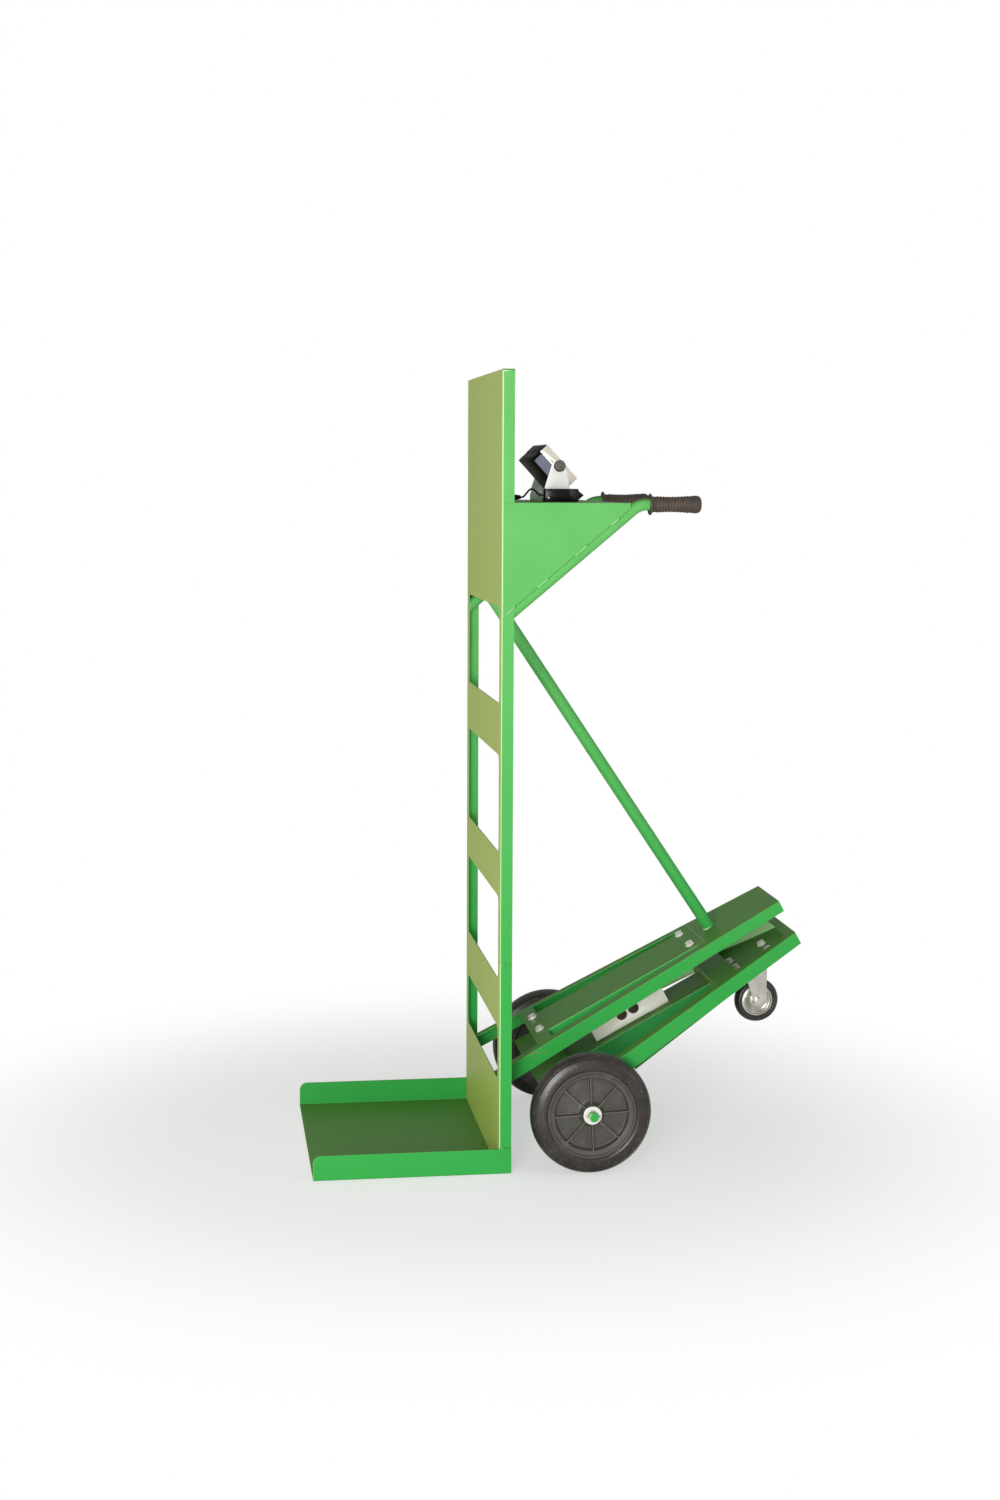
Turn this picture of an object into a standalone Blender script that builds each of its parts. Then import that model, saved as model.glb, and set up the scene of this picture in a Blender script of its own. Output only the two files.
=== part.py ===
"""Weighing trolley: a stand-up sack truck with a weighing beam between two tilted booms.

Frame: X = 0 at the front face of the back panel, +X towards the handles,
-X towards the front of the toe tray, +Y towards the right hand of someone who
stands at the handles and faces the back panel, +Z up, Z = 0 on the floor.
"""
import math

import bmesh
import bpy
from mathutils import Matrix, Vector

mm = 0.001

# Driving dimensions: whole trolley
back_height = 1671 * mm
back_half_width = 278 * mm
flange_depth = 26 * mm
back_sheet = 2 * mm
seam_height = 448 * mm
tray_reach = 390 * mm
tray_sheet = 3 * mm
tray_lip_height = 54 * mm
boom_tilt = math.radians(28.5)
boom_end = 821 * mm
shelf_height = 1403 * mm
wheel_radius = 129 * mm
wheel_axis_x = 193 * mm
wheel_plane = 287 * mm

# Clearances
gap = 0.3 * mm
overrun = 10 * mm
weld_distance = 0.01 * mm
round_profile_share = 0.5

# Back panel: window edges from the floor up, between solid slats
window_bands = (
    (197 * mm, 310 * mm),
    (412 * mm, 588 * mm),
    (680 * mm, 884 * mm),
    (991 * mm, 1190 * mm),
)
window_half_width = 250 * mm
window_corner = 15 * mm
panel_bend = 3 * mm

# Toe tray
tray_bend = 4 * mm
lip_corner = 16 * mm

# Handles and console
handle_slope = math.radians(40)
handle_below_shelf = 3 * mm
handle_height = shelf_height - handle_below_shelf
handle_turn_x = 286 * mm
handle_bend_radius = 45 * mm
handle_diameter = 25 * mm
handle_wall = 2 * mm
console_sheet = 2 * mm
console_rear = 266 * mm
console_edge_offset = 7 * mm
shelf_sheet = 2 * mm
shelf_rear = 260 * mm
shelf_hem = 6 * mm

# Grips
grip_start = 307 * mm
grip_length = 108 * mm
grip_collar_radius = 22 * mm
grip_radius = 18 * mm
grip_waist_radius = 16.5 * mm
grip_collar_width = 4 * mm
grip_rib_count = 7
grip_rib_height = 0.8 * mm
grip_end_wall = 6 * mm
grip_dome = 9 * mm

# Strut
strut_diameter = 26.9 * mm
strut_wall = 2.6 * mm
strut_top_height = 1221 * mm
strut_foot_s = 668 * mm

# Upper boom, in the tilted frame: s along the boom, t square to it
upper_top = 160.7 * mm
boom_sheet = 3 * mm
boom_bend = 5 * mm
boom_end_half_width = 92 * mm
upper_front_s = 60 * mm
upper_front_half_width = 178 * mm
upper_flange_rear = 26 * mm
upper_flange_front = 34 * mm
rail_width = 25 * mm
upper_bay_rear_s = 205 * mm
channel_start_s = 240 * mm
channel_end_s = 620 * mm
channel_half_width = 78 * mm
channel_depth = 28 * mm
ledge_length = 60 * mm
ledge_sheet = 4 * mm
ledge_half_width = 72 * mm
channel_bolt_inset = 14 * mm
channel_bolt_y = 52 * mm

# Load cell
cell_length = 183 * mm
cell_start_s = 324 * mm
cell_side = 74 * mm
cell_bottom = 68 * mm
cell_lobe_radius = 12.5 * mm
cell_lobe_s = 15 * mm
cell_lobe_t = 11.5 * mm
spacer_length = 48 * mm
spacer_half_width = 34 * mm
cell_bolt_s = 12.5 * mm
cell_bolt_y = 20 * mm
cell_bolt_depth = 22 * mm

# Lower boom
lower_top = 80 * mm
lower_front_s = 165 * mm
knee_s = 360 * mm
knee_half_width = 243 * mm
lower_flange_rear = 29 * mm
lower_flange_knee = 36 * mm
lower_flange_front = 100 * mm
lower_bay_front_s = 250 * mm
lower_bay_rear_s = 606 * mm
caster_bay_front_s = 664 * mm
caster_bay_rear_s = 802 * mm
bay_corner = 6 * mm
strip_top = 65 * mm
strip_half_width = 60 * mm
strip_depth = 22 * mm
strip_window_half_width = 30 * mm
bulkhead_drop = 38 * mm
bulkhead_hole = 22 * mm

# Caster
mount_plate_top = 54 * mm
mount_plate_sheet = 3 * mm
swivel_s = 716 * mm
caster_trail = 31 * mm
caster_axle_t = -41 * mm
caster_plate_half_length = 53 * mm
caster_plate_half_width = 42 * mm
caster_plate_sheet = 3 * mm
caster_bolt_s = 42 * mm
caster_bolt_y = 30 * mm
caster_tyre_radius = 50 * mm
caster_tyre_half_width = 16 * mm
caster_hub_radius = 35 * mm
dust_cover_radius = 31 * mm
fork_inner = 20 * mm
fork_sheet = 2.5 * mm
crown_half_length = 32 * mm
crown_sheet = 3 * mm
race_height = 4.5 * mm
race_radius = 27 * mm
race_bore = 9 * mm
fork_foot_radius = 13 * mm
fork_foot_round_share = 0.9
caster_axle_radius = 5 * mm
caster_axle_head_radius = 8.5 * mm

# Bolts
bolt_radius = 5 * mm
bolt_head_radius = 9 * mm
bolt_head_height = 6.5 * mm
bolt_washer_radius = 10.5 * mm
bolt_washer_height = 1.6 * mm
hole_clearance = 0.4 * mm

# Main wheels and axle
axle_radius = 10 * mm
axle_overhang = 15.2 * mm
tyre_half_width = 28 * mm
rim_share = 0.7276
tyre_bead_round = 2.8 * mm
rim_half_width = 24 * mm
hub_radius = 24 * mm
bush_radius = 13 * mm
web_outer = 7 * mm
web_inner = 1 * mm
rim_ring_width = 16 * mm
rib_count = 8
rib_thickness = 3.2 * mm
rib_height = 20 * mm
wheel_steps = 28
washer_radius = 19.5 * mm
washer_thickness = 2.5 * mm
axle_half_length = wheel_plane + rim_half_width + gap + washer_thickness + axle_overhang
cotter_radius = 1.6 * mm
cotter_reach = 15 * mm
cotter_setback = 8 * mm
spacer_radius = 16 * mm

# Tyre section from the bead to the crown: depth below the tread and distance from the middle
tyre_section_shares = (
    (0.55, 0.93),
    (0.5, 0.83),
    (0.44, 0.83),
    (0.22, 0.66),
    (0.06, 0.4),
    (0, 0.14),
)

# Indicator on the shelf
indicator_pivot_x = 148 * mm
indicator_face_tilt = math.radians(42.6)
indicator_half_width = 88 * mm
ear_plane = 90.5 * mm
ear_sheet = 2 * mm
pivot_rise = 75 * mm
face_out = 12 * mm
bezel_back = -10 * mm
cover_split = -32 * mm
back_face = -36 * mm
face_top = 51 * mm
face_bottom = -46 * mm
top_level = 50 * mm
top_front = -4 * mm
rear_bottom = -34 * mm
bottom_rear = -13.5 * mm
bottom_level = -47 * mm
housing_round = 4 * mm
lens_half_width = 62 * mm
lens_bottom = 6 * mm
lens_height = 32 * mm
lens_sink = 1.5 * mm
lens_thickness = 1.5 * mm
key_count = 4
key_pitch = 27 * mm
key_half_width = 9 * mm
key_half_height = 7 * mm
key_centre = -20 * mm
key_proud = 1.6 * mm
key_depth = 3 * mm
key_travel = 1 * mm
key_clearance = 0.5 * mm
knob_radius = 12.5 * mm
knob_depth = 13 * mm
knob_lobes = 6
knob_flute = 1.6 * mm
knob_screw_radius = 3 * mm
ear_foot_front = -34 * mm
ear_foot_rear = 26 * mm
ear_shoulder_front = -30.5 * mm
ear_shoulder_rear = 23 * mm
ear_shoulder_rise = 30 * mm
ear_shoulder_round = 20 * mm
ear_head_radius = 12 * mm
ear_round_share = 0.9
foot_rise = 16 * mm

# Cable corner on the shelf
gland_radius = 9 * mm
gland_length = 62 * mm
gland_nut_length = 40 * mm
gland_cone_start = 48 * mm
gland_cone_radius = 6.3 * mm
gland_y = -105 * mm
cable_radius = 2 * mm
cable_rise = 15 * mm
cable_lead = 2 * mm
box_front = 110 * mm
box_rear = 184 * mm
box_near = -140 * mm
box_far = -95 * mm
box_height = 27 * mm
box_chamfer = 21 * mm
box_nose = 13 * mm
box_round = 3 * mm

unit_z = Vector((0, 0, 1))


def clear_scene():
    """Remove every object so that the file can be run again."""
    for item in list(bpy.data.objects):
        bpy.data.objects.remove(item, do_unlink=True)
    for group in list(bpy.data.collections):
        bpy.data.collections.remove(group)


def make_collection(name):
    """Add a collection to the scene."""
    group = bpy.data.collections.new(name)
    bpy.context.scene.collection.children.link(group)
    return group


def make_material(name, colour, roughness, metallic):
    """Principled material with one colour."""
    material = bpy.data.materials.new(name)
    material.use_nodes = True
    shader = material.node_tree.nodes["Principled BSDF"]
    shader.inputs["Base Color"].default_value = (*colour, 1)
    shader.inputs["Roughness"].default_value = roughness
    shader.inputs["Metallic"].default_value = metallic
    return material


clear_scene()
parts = make_collection("weighing_trolley")
cutters = make_collection("cutters")

green_paint = make_material("green_paint", (0.05, 0.42, 0.06), 0.4, 0)
tyre_rubber = make_material("tyre_rubber", (0.03, 0.028, 0.025), 0.75, 0)
grip_rubber = make_material("grip_rubber", (0.03, 0.025, 0.02), 0.8, 0)
rim_plastic = make_material("rim_plastic", (0.07, 0.07, 0.07), 0.55, 0)
zinc_plate = make_material("zinc_plate", (0.7, 0.7, 0.68), 0.35, 1)
cell_aluminium = make_material("cell_aluminium", (0.85, 0.83, 0.78), 0.4, 1)
stainless = make_material("stainless", (0.75, 0.74, 0.72), 0.3, 1)
black_plastic = make_material("black_plastic", (0.015, 0.015, 0.014), 0.5, 0)
grey_plastic = make_material("grey_plastic", (0.25, 0.25, 0.32), 0.5, 0)
display_glass = make_material("display_glass", (0.08, 0.1, 0.08), 0.1, 0)
key_rubber = make_material("key_rubber", (0.3, 0.32, 0.36), 0.6, 0)
nylon = make_material("nylon", (0.6, 0.6, 0.58), 0.5, 0)


def make_empty(name, location, rotation=(0, 0, 0), parent=None):
    """Empty on a joint axis or a datum, which the pieces hang from."""
    empty = bpy.data.objects.new(name, None)
    empty.location = location
    empty.rotation_euler = rotation
    empty.parent = parent
    parts.objects.link(empty)
    return empty


def add_object(name, mesh, material=None, parent=None, location=(0, 0, 0), rotation=(0, 0, 0)):
    """Put a mesh in the scene as a part, or as a cutter where it has no material."""
    item = bpy.data.objects.new(name, mesh)
    item.location = location
    item.rotation_euler = rotation
    item.parent = parent
    if material is None:
        cutters.objects.link(item)
        item.hide_render = True
        item.display_type = "WIRE"
        return item
    parts.objects.link(item)
    mesh.materials.append(material)
    return item


def finish_mesh(name, bm, smooth=False):
    """Turn a bmesh into a mesh, shaded smooth where it is round."""
    mesh = bpy.data.meshes.new(name)
    bm.to_mesh(mesh)
    bm.free()
    if smooth:
        mesh.shade_smooth()
        mesh.set_sharp_from_angle(angle=math.radians(35))
    return mesh


def add_modifier(item, kind, **settings):
    """Add one modifier with its settings."""
    modifier = item.modifiers.new(kind.lower(), kind)
    for key, value in settings.items():
        setattr(modifier, key, value)
    return modifier


def cut(target, *tools):
    """Boolean difference with each tool."""
    for tool in tools:
        add_modifier(target, "BOOLEAN", operation="DIFFERENCE", object=tool)


def join(target, *tools):
    """Boolean union with each tool."""
    for tool in tools:
        add_modifier(target, "BOOLEAN", operation="UNION", object=tool)


def brick_mesh(name, low, high):
    """Box between two corners."""
    bm = bmesh.new()
    bmesh.ops.create_cube(bm, size=1)
    size = [b - a for a, b in zip(low, high)]
    middle = [(a + b) / 2 for a, b in zip(low, high)]
    bmesh.ops.scale(bm, vec=size, verts=bm.verts)
    bmesh.ops.translate(bm, vec=middle, verts=bm.verts)
    return finish_mesh(name, bm)


def bar_mesh(name, start, end, radius, sides=24, tip_radius=None):
    """Round bar from start to end."""
    axis = Vector(end) - Vector(start)
    bm = bmesh.new()
    bmesh.ops.create_cone(
        bm,
        cap_ends=True,
        segments=sides,
        radius1=radius,
        radius2=radius if tip_radius is None else tip_radius,
        depth=axis.length,
    )
    turn = axis.to_track_quat("Z", "Y").to_matrix().to_4x4()
    place = Matrix.Translation((Vector(start) + Vector(end)) / 2)
    bmesh.ops.transform(bm, matrix=place @ turn, verts=bm.verts)
    return finish_mesh(name, bm, smooth=True)


def merged_mesh(name, meshes):
    """Several closed solids in one mesh, for fasteners that share a node."""
    bm = bmesh.new()
    for mesh in meshes:
        bm.from_mesh(mesh)
        bpy.data.meshes.remove(mesh)
    return finish_mesh(name, bm, smooth=True)


def rounded_outline(corners, radii, steps=4):
    """Closed outline with an arc at each corner that has a radius."""
    points = []
    count = len(corners)
    for index in range(count):
        here = Vector(corners[index])
        before = (Vector(corners[index - 1]) - here).normalized()
        after = (Vector(corners[(index + 1) % count]) - here).normalized()
        radius = radii[index]
        if not radius:
            points.append(here)
            continue
        half_angle = before.angle(after) / 2
        reach = radius / math.tan(half_angle)
        centre = here + (before + after).normalized() * (radius / math.sin(half_angle))
        start = here + before * reach - centre
        end = here + after * reach - centre
        sweep = math.pi - 2 * half_angle
        side = math.copysign(1, start.x * end.y - start.y * end.x)
        for step in range(steps + 1):
            angle = side * sweep * step / steps
            turned = Matrix.Rotation(angle, 2) @ start
            points.append(centre + turned)
    return points


facing_turns = {
    "Z": Matrix.Identity(4),
    "Y": Matrix.Rotation(math.pi / 2, 4, "X"),
    "X": Matrix(((0, 0, 1, 0), (1, 0, 0, 0), (0, 1, 0, 0), (0, 0, 0, 1))),
}


def outline_mesh(name, points, thickness, facing, middle=0):
    """Flat plate from an outline, square to the facing axis, about the middle along it."""
    curve = bpy.data.curves.new(name, "CURVE")
    curve.dimensions = "2D"
    curve.fill_mode = "BOTH"
    curve.extrude = thickness / 2
    spline = curve.splines.new("POLY")
    spline.points.add(len(points) - 1)
    for point, place in zip(spline.points, points):
        point.co = (place[0], place[1], 0, 1)
    spline.use_cyclic_u = True
    holder = bpy.data.objects.new(name, curve)
    bpy.context.scene.collection.objects.link(holder)
    depsgraph = bpy.context.evaluated_depsgraph_get()
    mesh = bpy.data.meshes.new_from_object(holder.evaluated_get(depsgraph))
    bpy.data.objects.remove(holder)
    bpy.data.curves.remove(curve)
    bm = bmesh.new()
    bm.from_mesh(mesh)
    bpy.data.meshes.remove(mesh)
    bmesh.ops.remove_doubles(bm, verts=bm.verts, dist=weld_distance)
    bmesh.ops.recalc_face_normals(bm, faces=bm.faces)
    turn = facing_turns[facing]
    shift = Matrix.Translation((turn.to_3x3() @ unit_z).xyz * middle)
    if facing == "Y":
        shift = Matrix.Translation((0, middle, 0))
    bmesh.ops.transform(bm, matrix=shift @ turn, verts=bm.verts)
    return finish_mesh(name, bm)


def tube_mesh(name, points, radius, resolution=2):
    """Round wire or tube along a path, as a closed mesh."""
    curve = bpy.data.curves.new(name, "CURVE")
    curve.dimensions = "3D"
    curve.bevel_depth = radius
    curve.bevel_resolution = resolution
    curve.use_fill_caps = True
    spline = curve.splines.new("POLY")
    spline.points.add(len(points) - 1)
    for point, place in zip(spline.points, points):
        point.co = (*place, 1)
    holder = bpy.data.objects.new(name, curve)
    bpy.context.scene.collection.objects.link(holder)
    depsgraph = bpy.context.evaluated_depsgraph_get()
    mesh = bpy.data.meshes.new_from_object(holder.evaluated_get(depsgraph))
    bpy.data.objects.remove(holder)
    bpy.data.curves.remove(curve)
    bm = bmesh.new()
    bm.from_mesh(mesh)
    bpy.data.meshes.remove(mesh)
    bmesh.ops.remove_doubles(bm, verts=bm.verts, dist=weld_distance)
    bmesh.ops.recalc_face_normals(bm, faces=bm.faces)
    return finish_mesh(name, bm, smooth=True)


def turned_mesh(name, profile, steps, closed=True):
    """Turned shape about Z from a profile of radius and height, its outer side running down."""
    bm = bmesh.new()
    verts = [bm.verts.new((radius, 0, height)) for radius, height in profile]
    for first, second in zip(verts, verts[1:]):
        bm.edges.new((first, second))
    if closed:
        bm.edges.new((verts[-1], verts[0]))
    mesh = finish_mesh(name, bm)
    holder = bpy.data.objects.new(name, mesh)
    bpy.context.scene.collection.objects.link(holder)
    add_modifier(
        holder,
        "SCREW",
        steps=steps,
        render_steps=steps,
        use_merge_vertices=True,
        merge_threshold=weld_distance,
    )
    depsgraph = bpy.context.evaluated_depsgraph_get()
    turned = bpy.data.meshes.new_from_object(holder.evaluated_get(depsgraph))
    turned.name = name
    bpy.data.objects.remove(holder)
    bpy.data.meshes.remove(mesh)
    turned.shade_smooth()
    turned.set_sharp_from_angle(angle=math.radians(35))
    return turned


def folded_mesh(name, corners, depths, folded_edges, bend):
    """Open surface of a flat sheet with edges folded down by the depth at each corner."""
    bm = bmesh.new()
    bmesh.ops.create_circle(bm, cap_ends=True, segments=len(corners), radius=1)
    bm.verts.ensure_lookup_table()
    ring = sorted(bm.verts, key=lambda vert: math.atan2(vert.co.y, vert.co.x) % math.tau)
    for vert, corner in zip(ring, corners):
        vert.co = (corner[0], corner[1], 0)
    depth_of = dict(zip(ring, depths))
    count = len(ring)
    edges = [bm.edges.get((ring[index], ring[(index + 1) % count])) for index in folded_edges]
    grown = bmesh.ops.extrude_edge_only(bm, edges=edges)["geom"]
    for vert in [item for item in grown if isinstance(item, bmesh.types.BMVert)]:
        root = min(ring, key=lambda corner: (corner.co - vert.co).length)
        vert.co.z -= depth_of[root]
    bmesh.ops.recalc_face_normals(bm, faces=bm.faces)
    lid = max(bm.faces, key=lambda face: face.calc_center_median().z)
    if lid.normal.z < 0:
        bmesh.ops.reverse_faces(bm, faces=bm.faces)
    folds = [edge for edge in bm.edges if len(edge.link_faces) == 2]
    bmesh.ops.bevel(
        bm, geom=folds, offset=bend, segments=2, profile=round_profile_share, affect="EDGES")
    return finish_mesh(name, bm)


def bolt_mesh(name, top, under, centre):
    """Hex bolt down through a joint, with its washer on top and its nut below."""
    washer_base = top + gap
    washer_end = washer_base + bolt_washer_height
    head_end = washer_end + bolt_head_height
    nut_top = under - gap
    nut_end = nut_top - bolt_head_height
    profile = [
        (0, head_end),
        (bolt_head_radius, head_end),
        (bolt_head_radius, washer_end),
        (bolt_washer_radius, washer_end),
        (bolt_washer_radius, washer_base),
        (bolt_radius, washer_base),
        (bolt_radius, nut_top),
        (bolt_head_radius, nut_top),
        (bolt_head_radius, nut_end),
        (0, nut_end),
    ]
    mesh = turned_mesh(name, profile, 10, closed=False)
    mesh.transform(Matrix.Translation((*centre, 0)))
    return mesh


def boom_point(s, t, y=0):
    """World place of a point given in the tilted boom frame."""
    return Vector((
        s * math.cos(boom_tilt) - t * math.sin(boom_tilt),
        y,
        s * math.sin(boom_tilt) + t * math.cos(boom_tilt),
    ))


boom_datum = make_empty("boom_datum", (0, 0, 0), (0, -boom_tilt, 0))

# Cutter that trims what butts against the back panel's rear face
panel_trim = add_object(
    "panel_trim",
    brick_mesh(
        "panel_trim",
        (-tray_reach, -back_half_width - overrun, 0),
        (back_sheet + gap, back_half_width + overrun, back_height),
    ),
)


def upper_half_width(s):
    """Half width of the upper boom at a place along it."""
    share = (boom_end - s) / (boom_end - upper_front_s)
    return boom_end_half_width + share * (upper_front_half_width - boom_end_half_width)


def lower_half_width(s):
    """Half width of the lower boom at a place along it."""
    share = min(1, (boom_end - s) / (boom_end - knee_s))
    return boom_end_half_width + share * (knee_half_width - boom_end_half_width)


def handle_line(x):
    """Height of the handle tube's sloping axis at a place along X."""
    return handle_height - (handle_turn_x - x) * math.tan(handle_slope)


def window_cutters():
    """Rounded windows through the back panel."""
    tools = []
    for index, (low, high) in enumerate(window_bands):
        corners = [
            (-window_half_width, low),
            (window_half_width, low),
            (window_half_width, high),
            (-window_half_width, high),
        ]
        points = rounded_outline(corners, [window_corner] * 4)
        mesh = outline_mesh(f"window_{index}", points, 2 * flange_depth, "X")
        tools.append(add_object(f"window_{index}", mesh))
    return tools


def build_back():
    """Back panel in an upper and a lower folded pan, welded at the seam."""
    windows = window_cutters()
    to_world = Matrix(((0, 0, -1, 0), (-1, 0, 0, 0), (0, 1, 0, 0), (0, 0, 0, 1)))
    spans = {
        "back_panel_upper": (seam_height + gap / 2, back_height, (1, 2, 3)),
        "back_panel_lower": (tray_sheet + tray_bend / 4, seam_height - gap / 2, (1, 3)),
    }
    for name, (low, high, folded_edges) in spans.items():
        corners = [
            (-back_half_width, low),
            (back_half_width, low),
            (back_half_width, high),
            (-back_half_width, high),
        ]
        mesh = folded_mesh(name, corners, [flange_depth] * 4, folded_edges, panel_bend)
        mesh.transform(to_world)
        item = add_object(name, mesh, green_paint)
        add_modifier(item, "SOLIDIFY", thickness=back_sheet, offset=-1, use_even_offset=True)
        cut(item, *windows)
        if name == "back_panel_upper":
            cut(item, *console_notches())


def console_outline(inset):
    """Side plate outline in X and Z, grown or shrunk at its welded edges."""
    lift = console_edge_offset / math.cos(handle_slope) + inset
    front = panel_bend + gap + inset
    corner_x = handle_turn_x - (handle_height - shelf_height) / math.tan(handle_slope)
    rear = min(console_rear, corner_x)
    return [
        (front, handle_line(front) + lift),
        (rear, handle_line(rear) + lift),
        (rear, shelf_height - inset),
        (front, shelf_height - inset),
    ]


def console_notches():
    """Notches in the flanges where the console's side plates are let in."""
    corners = console_outline(-gap)
    rear = flange_depth + overrun
    points = [corners[0], (rear, handle_line(rear) + corners[0][1] - handle_line(corners[0][0])),
              (rear, corners[3][1]), corners[3]]
    tools = []
    for side in (-1, 1):
        name = f"console_notch_{'left' if side < 0 else 'right'}"
        mesh = outline_mesh(name, points, 4 * back_sheet, "Y", side * back_half_width)
        tools.append(add_object(name, mesh))
    return tools


def build_tray():
    """Toe tray: floor plate with a raised lip along each side."""
    half = back_half_width + gap + tray_sheet
    rear = flange_depth
    corners = [(-tray_reach, -half), (rear, -half), (rear, half), (-tray_reach, half)]
    mesh = folded_mesh("toe_tray", corners, [tray_lip_height] * 4, (0, 2), tray_bend)
    mesh.transform(Matrix.Rotation(math.pi, 4, "X"))
    tray = add_object("toe_tray", mesh, green_paint)
    add_modifier(tray, "SOLIDIFY", thickness=tray_sheet, offset=-1, use_even_offset=True)
    trim_points = rounded_outline(
        [(-tray_reach, 0), (-tray_reach + 2 * lip_corner, 0),
         (-tray_reach + 2 * lip_corner, tray_lip_height), (-tray_reach, tray_lip_height)],
        [0, 0, 0, lip_corner],
    )
    outer = [
        (-tray_reach - overrun, tray_bend),
        (-tray_reach - overrun, tray_lip_height + overrun),
        (-tray_reach + lip_corner, tray_lip_height + overrun),
    ]
    points = outer + trim_points[3:] + [(-tray_reach, tray_bend)]
    tool = add_object(
        "lip_corner_cutter", outline_mesh("lip_corner_cutter", points, 4 * half, "Y"))
    cut(tray, tool)


def build_console():
    """Side plates and shelf between the back panel and the handles."""
    for side, word in ((-1, "left"), (1, "right")):
        name = f"console_side_{word}"
        middle = side * (back_half_width - console_sheet / 2)
        mesh = outline_mesh(name, console_outline(0), console_sheet, "Y", middle)
        add_object(name, mesh, green_paint)
    half = back_half_width - back_sheet - gap
    corners = [(panel_bend + gap, -half), (shelf_rear, -half), (shelf_rear, half),
               (panel_bend + gap, half)]
    mesh = folded_mesh("console_shelf", corners, [shelf_hem] * 4, (1,), shelf_sheet)
    shelf = add_object("console_shelf", mesh, green_paint, location=(0, 0, shelf_height))
    add_modifier(shelf, "SOLIDIFY", thickness=shelf_sheet, offset=-1, use_even_offset=True)


def handle_path(start_x, end_x):
    """Handle tube axis in X and Z: up the slope, round the bend, then level."""
    reach = handle_bend_radius * math.tan(handle_slope / 2)
    centre_x = handle_turn_x + reach
    centre_z = handle_height - handle_bend_radius
    steps = 5
    points = [(start_x, handle_line(start_x))]
    for step in range(steps + 1):
        angle = math.pi / 2 + handle_slope * (1 - step / steps)
        points.append((centre_x + handle_bend_radius * math.cos(angle),
                       centre_z + handle_bend_radius * math.sin(angle)))
    points.append((end_x, handle_height))
    return points


def build_handles():
    """Bent handle tubes with rubber grips."""
    radius = handle_diameter / 2
    tube_end = grip_start + grip_length - grip_end_wall - gap
    for side, word in ((-1, "left"), (1, "right")):
        y = side * (back_half_width - back_sheet - 2 * gap - radius)
        path = [(x, y, z) for x, z in handle_path(-handle_diameter, tube_end)]
        bore = [(x, y, z) for x, z in handle_path(-2 * handle_diameter, tube_end + overrun)]
        name = f"handle_tube_{word}"
        tube = add_object(name, tube_mesh(name, path, radius), green_paint)
        bore_name = f"handle_bore_{word}"
        tool = add_object(bore_name, tube_mesh(bore_name, bore, radius - handle_wall))
        cut(tube, panel_trim, tool)
        grip_name = f"grip_{word}"
        mesh = turned_mesh(grip_name, grip_profile(), 16)
        mesh.transform(Matrix.Rotation(math.pi / 2, 4, "Y"))
        add_object(grip_name, mesh, grip_rubber, location=(grip_start, y, handle_height))


def grip_profile():
    """Grip section from its open mouth at height zero to its domed end."""
    bore = handle_diameter / 2 + gap
    dome_start = grip_length - grip_dome
    ribs_start = 2 * grip_collar_width
    pitch = (dome_start - ribs_start) / grip_rib_count
    outer = [(grip_collar_radius, 0), (grip_collar_radius, grip_collar_width)]
    for index in range(grip_rib_count):
        share = (index + 1 / 2) / grip_rib_count
        swell = grip_waist_radius + (grip_radius - grip_waist_radius) * (2 * share - 1) ** 2
        base = ribs_start + index * pitch
        outer.append((swell, base))
        outer.append((swell + grip_rib_height, base + pitch / 4))
        outer.append((swell + grip_rib_height, base + pitch * 3 / 4))
    outer.append((grip_radius, dome_start))
    for step in (1, 2):
        angle = math.pi / 2 * step / 3
        outer.append((grip_radius - grip_dome + grip_dome * math.cos(angle),
                      dome_start + grip_dome * math.sin(angle)))
    outer.append((0, grip_length))
    inner = [(0, grip_length - grip_end_wall), (bore, grip_length - grip_end_wall), (bore, 0)]
    return list(reversed(outer)) + list(reversed(inner))


def build_strut():
    """Round strut from the back panel down to the upper boom."""
    top = Vector((back_sheet, 0, strut_top_height))
    foot = boom_point(strut_foot_s, upper_top)
    along = (foot - top).normalized()
    radius = strut_diameter / 2
    start = top - along * 2 * strut_diameter
    end = foot + along * 2 * strut_diameter
    strut = add_object("rear_strut", bar_mesh("rear_strut", start, end, radius), green_paint)
    bore = add_object(
        "strut_bore",
        bar_mesh("strut_bore", start - along * overrun, end + along * overrun, radius - strut_wall),
    )
    plate = add_object(
        "boom_trim",
        brick_mesh(
            "boom_trim",
            (strut_foot_s - 4 * strut_diameter, -back_half_width, -upper_top),
            (strut_foot_s + 4 * strut_diameter, back_half_width, upper_top + gap),
        ),
        parent=boom_datum,
    )
    cut(strut, bore, panel_trim, plate)


def bay_outline(start, end, half_width_at, inset):
    """Opening between the rails, drawn in from the boom's edge by the inset."""
    stations = [start, end]
    if start < knee_s < end and half_width_at is lower_half_width:
        stations = [start, knee_s, end]
    near = [(s, -(half_width_at(s) - inset)) for s in stations]
    far = [(s, half_width_at(s) - inset) for s in reversed(stations)]
    return near + far


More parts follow.
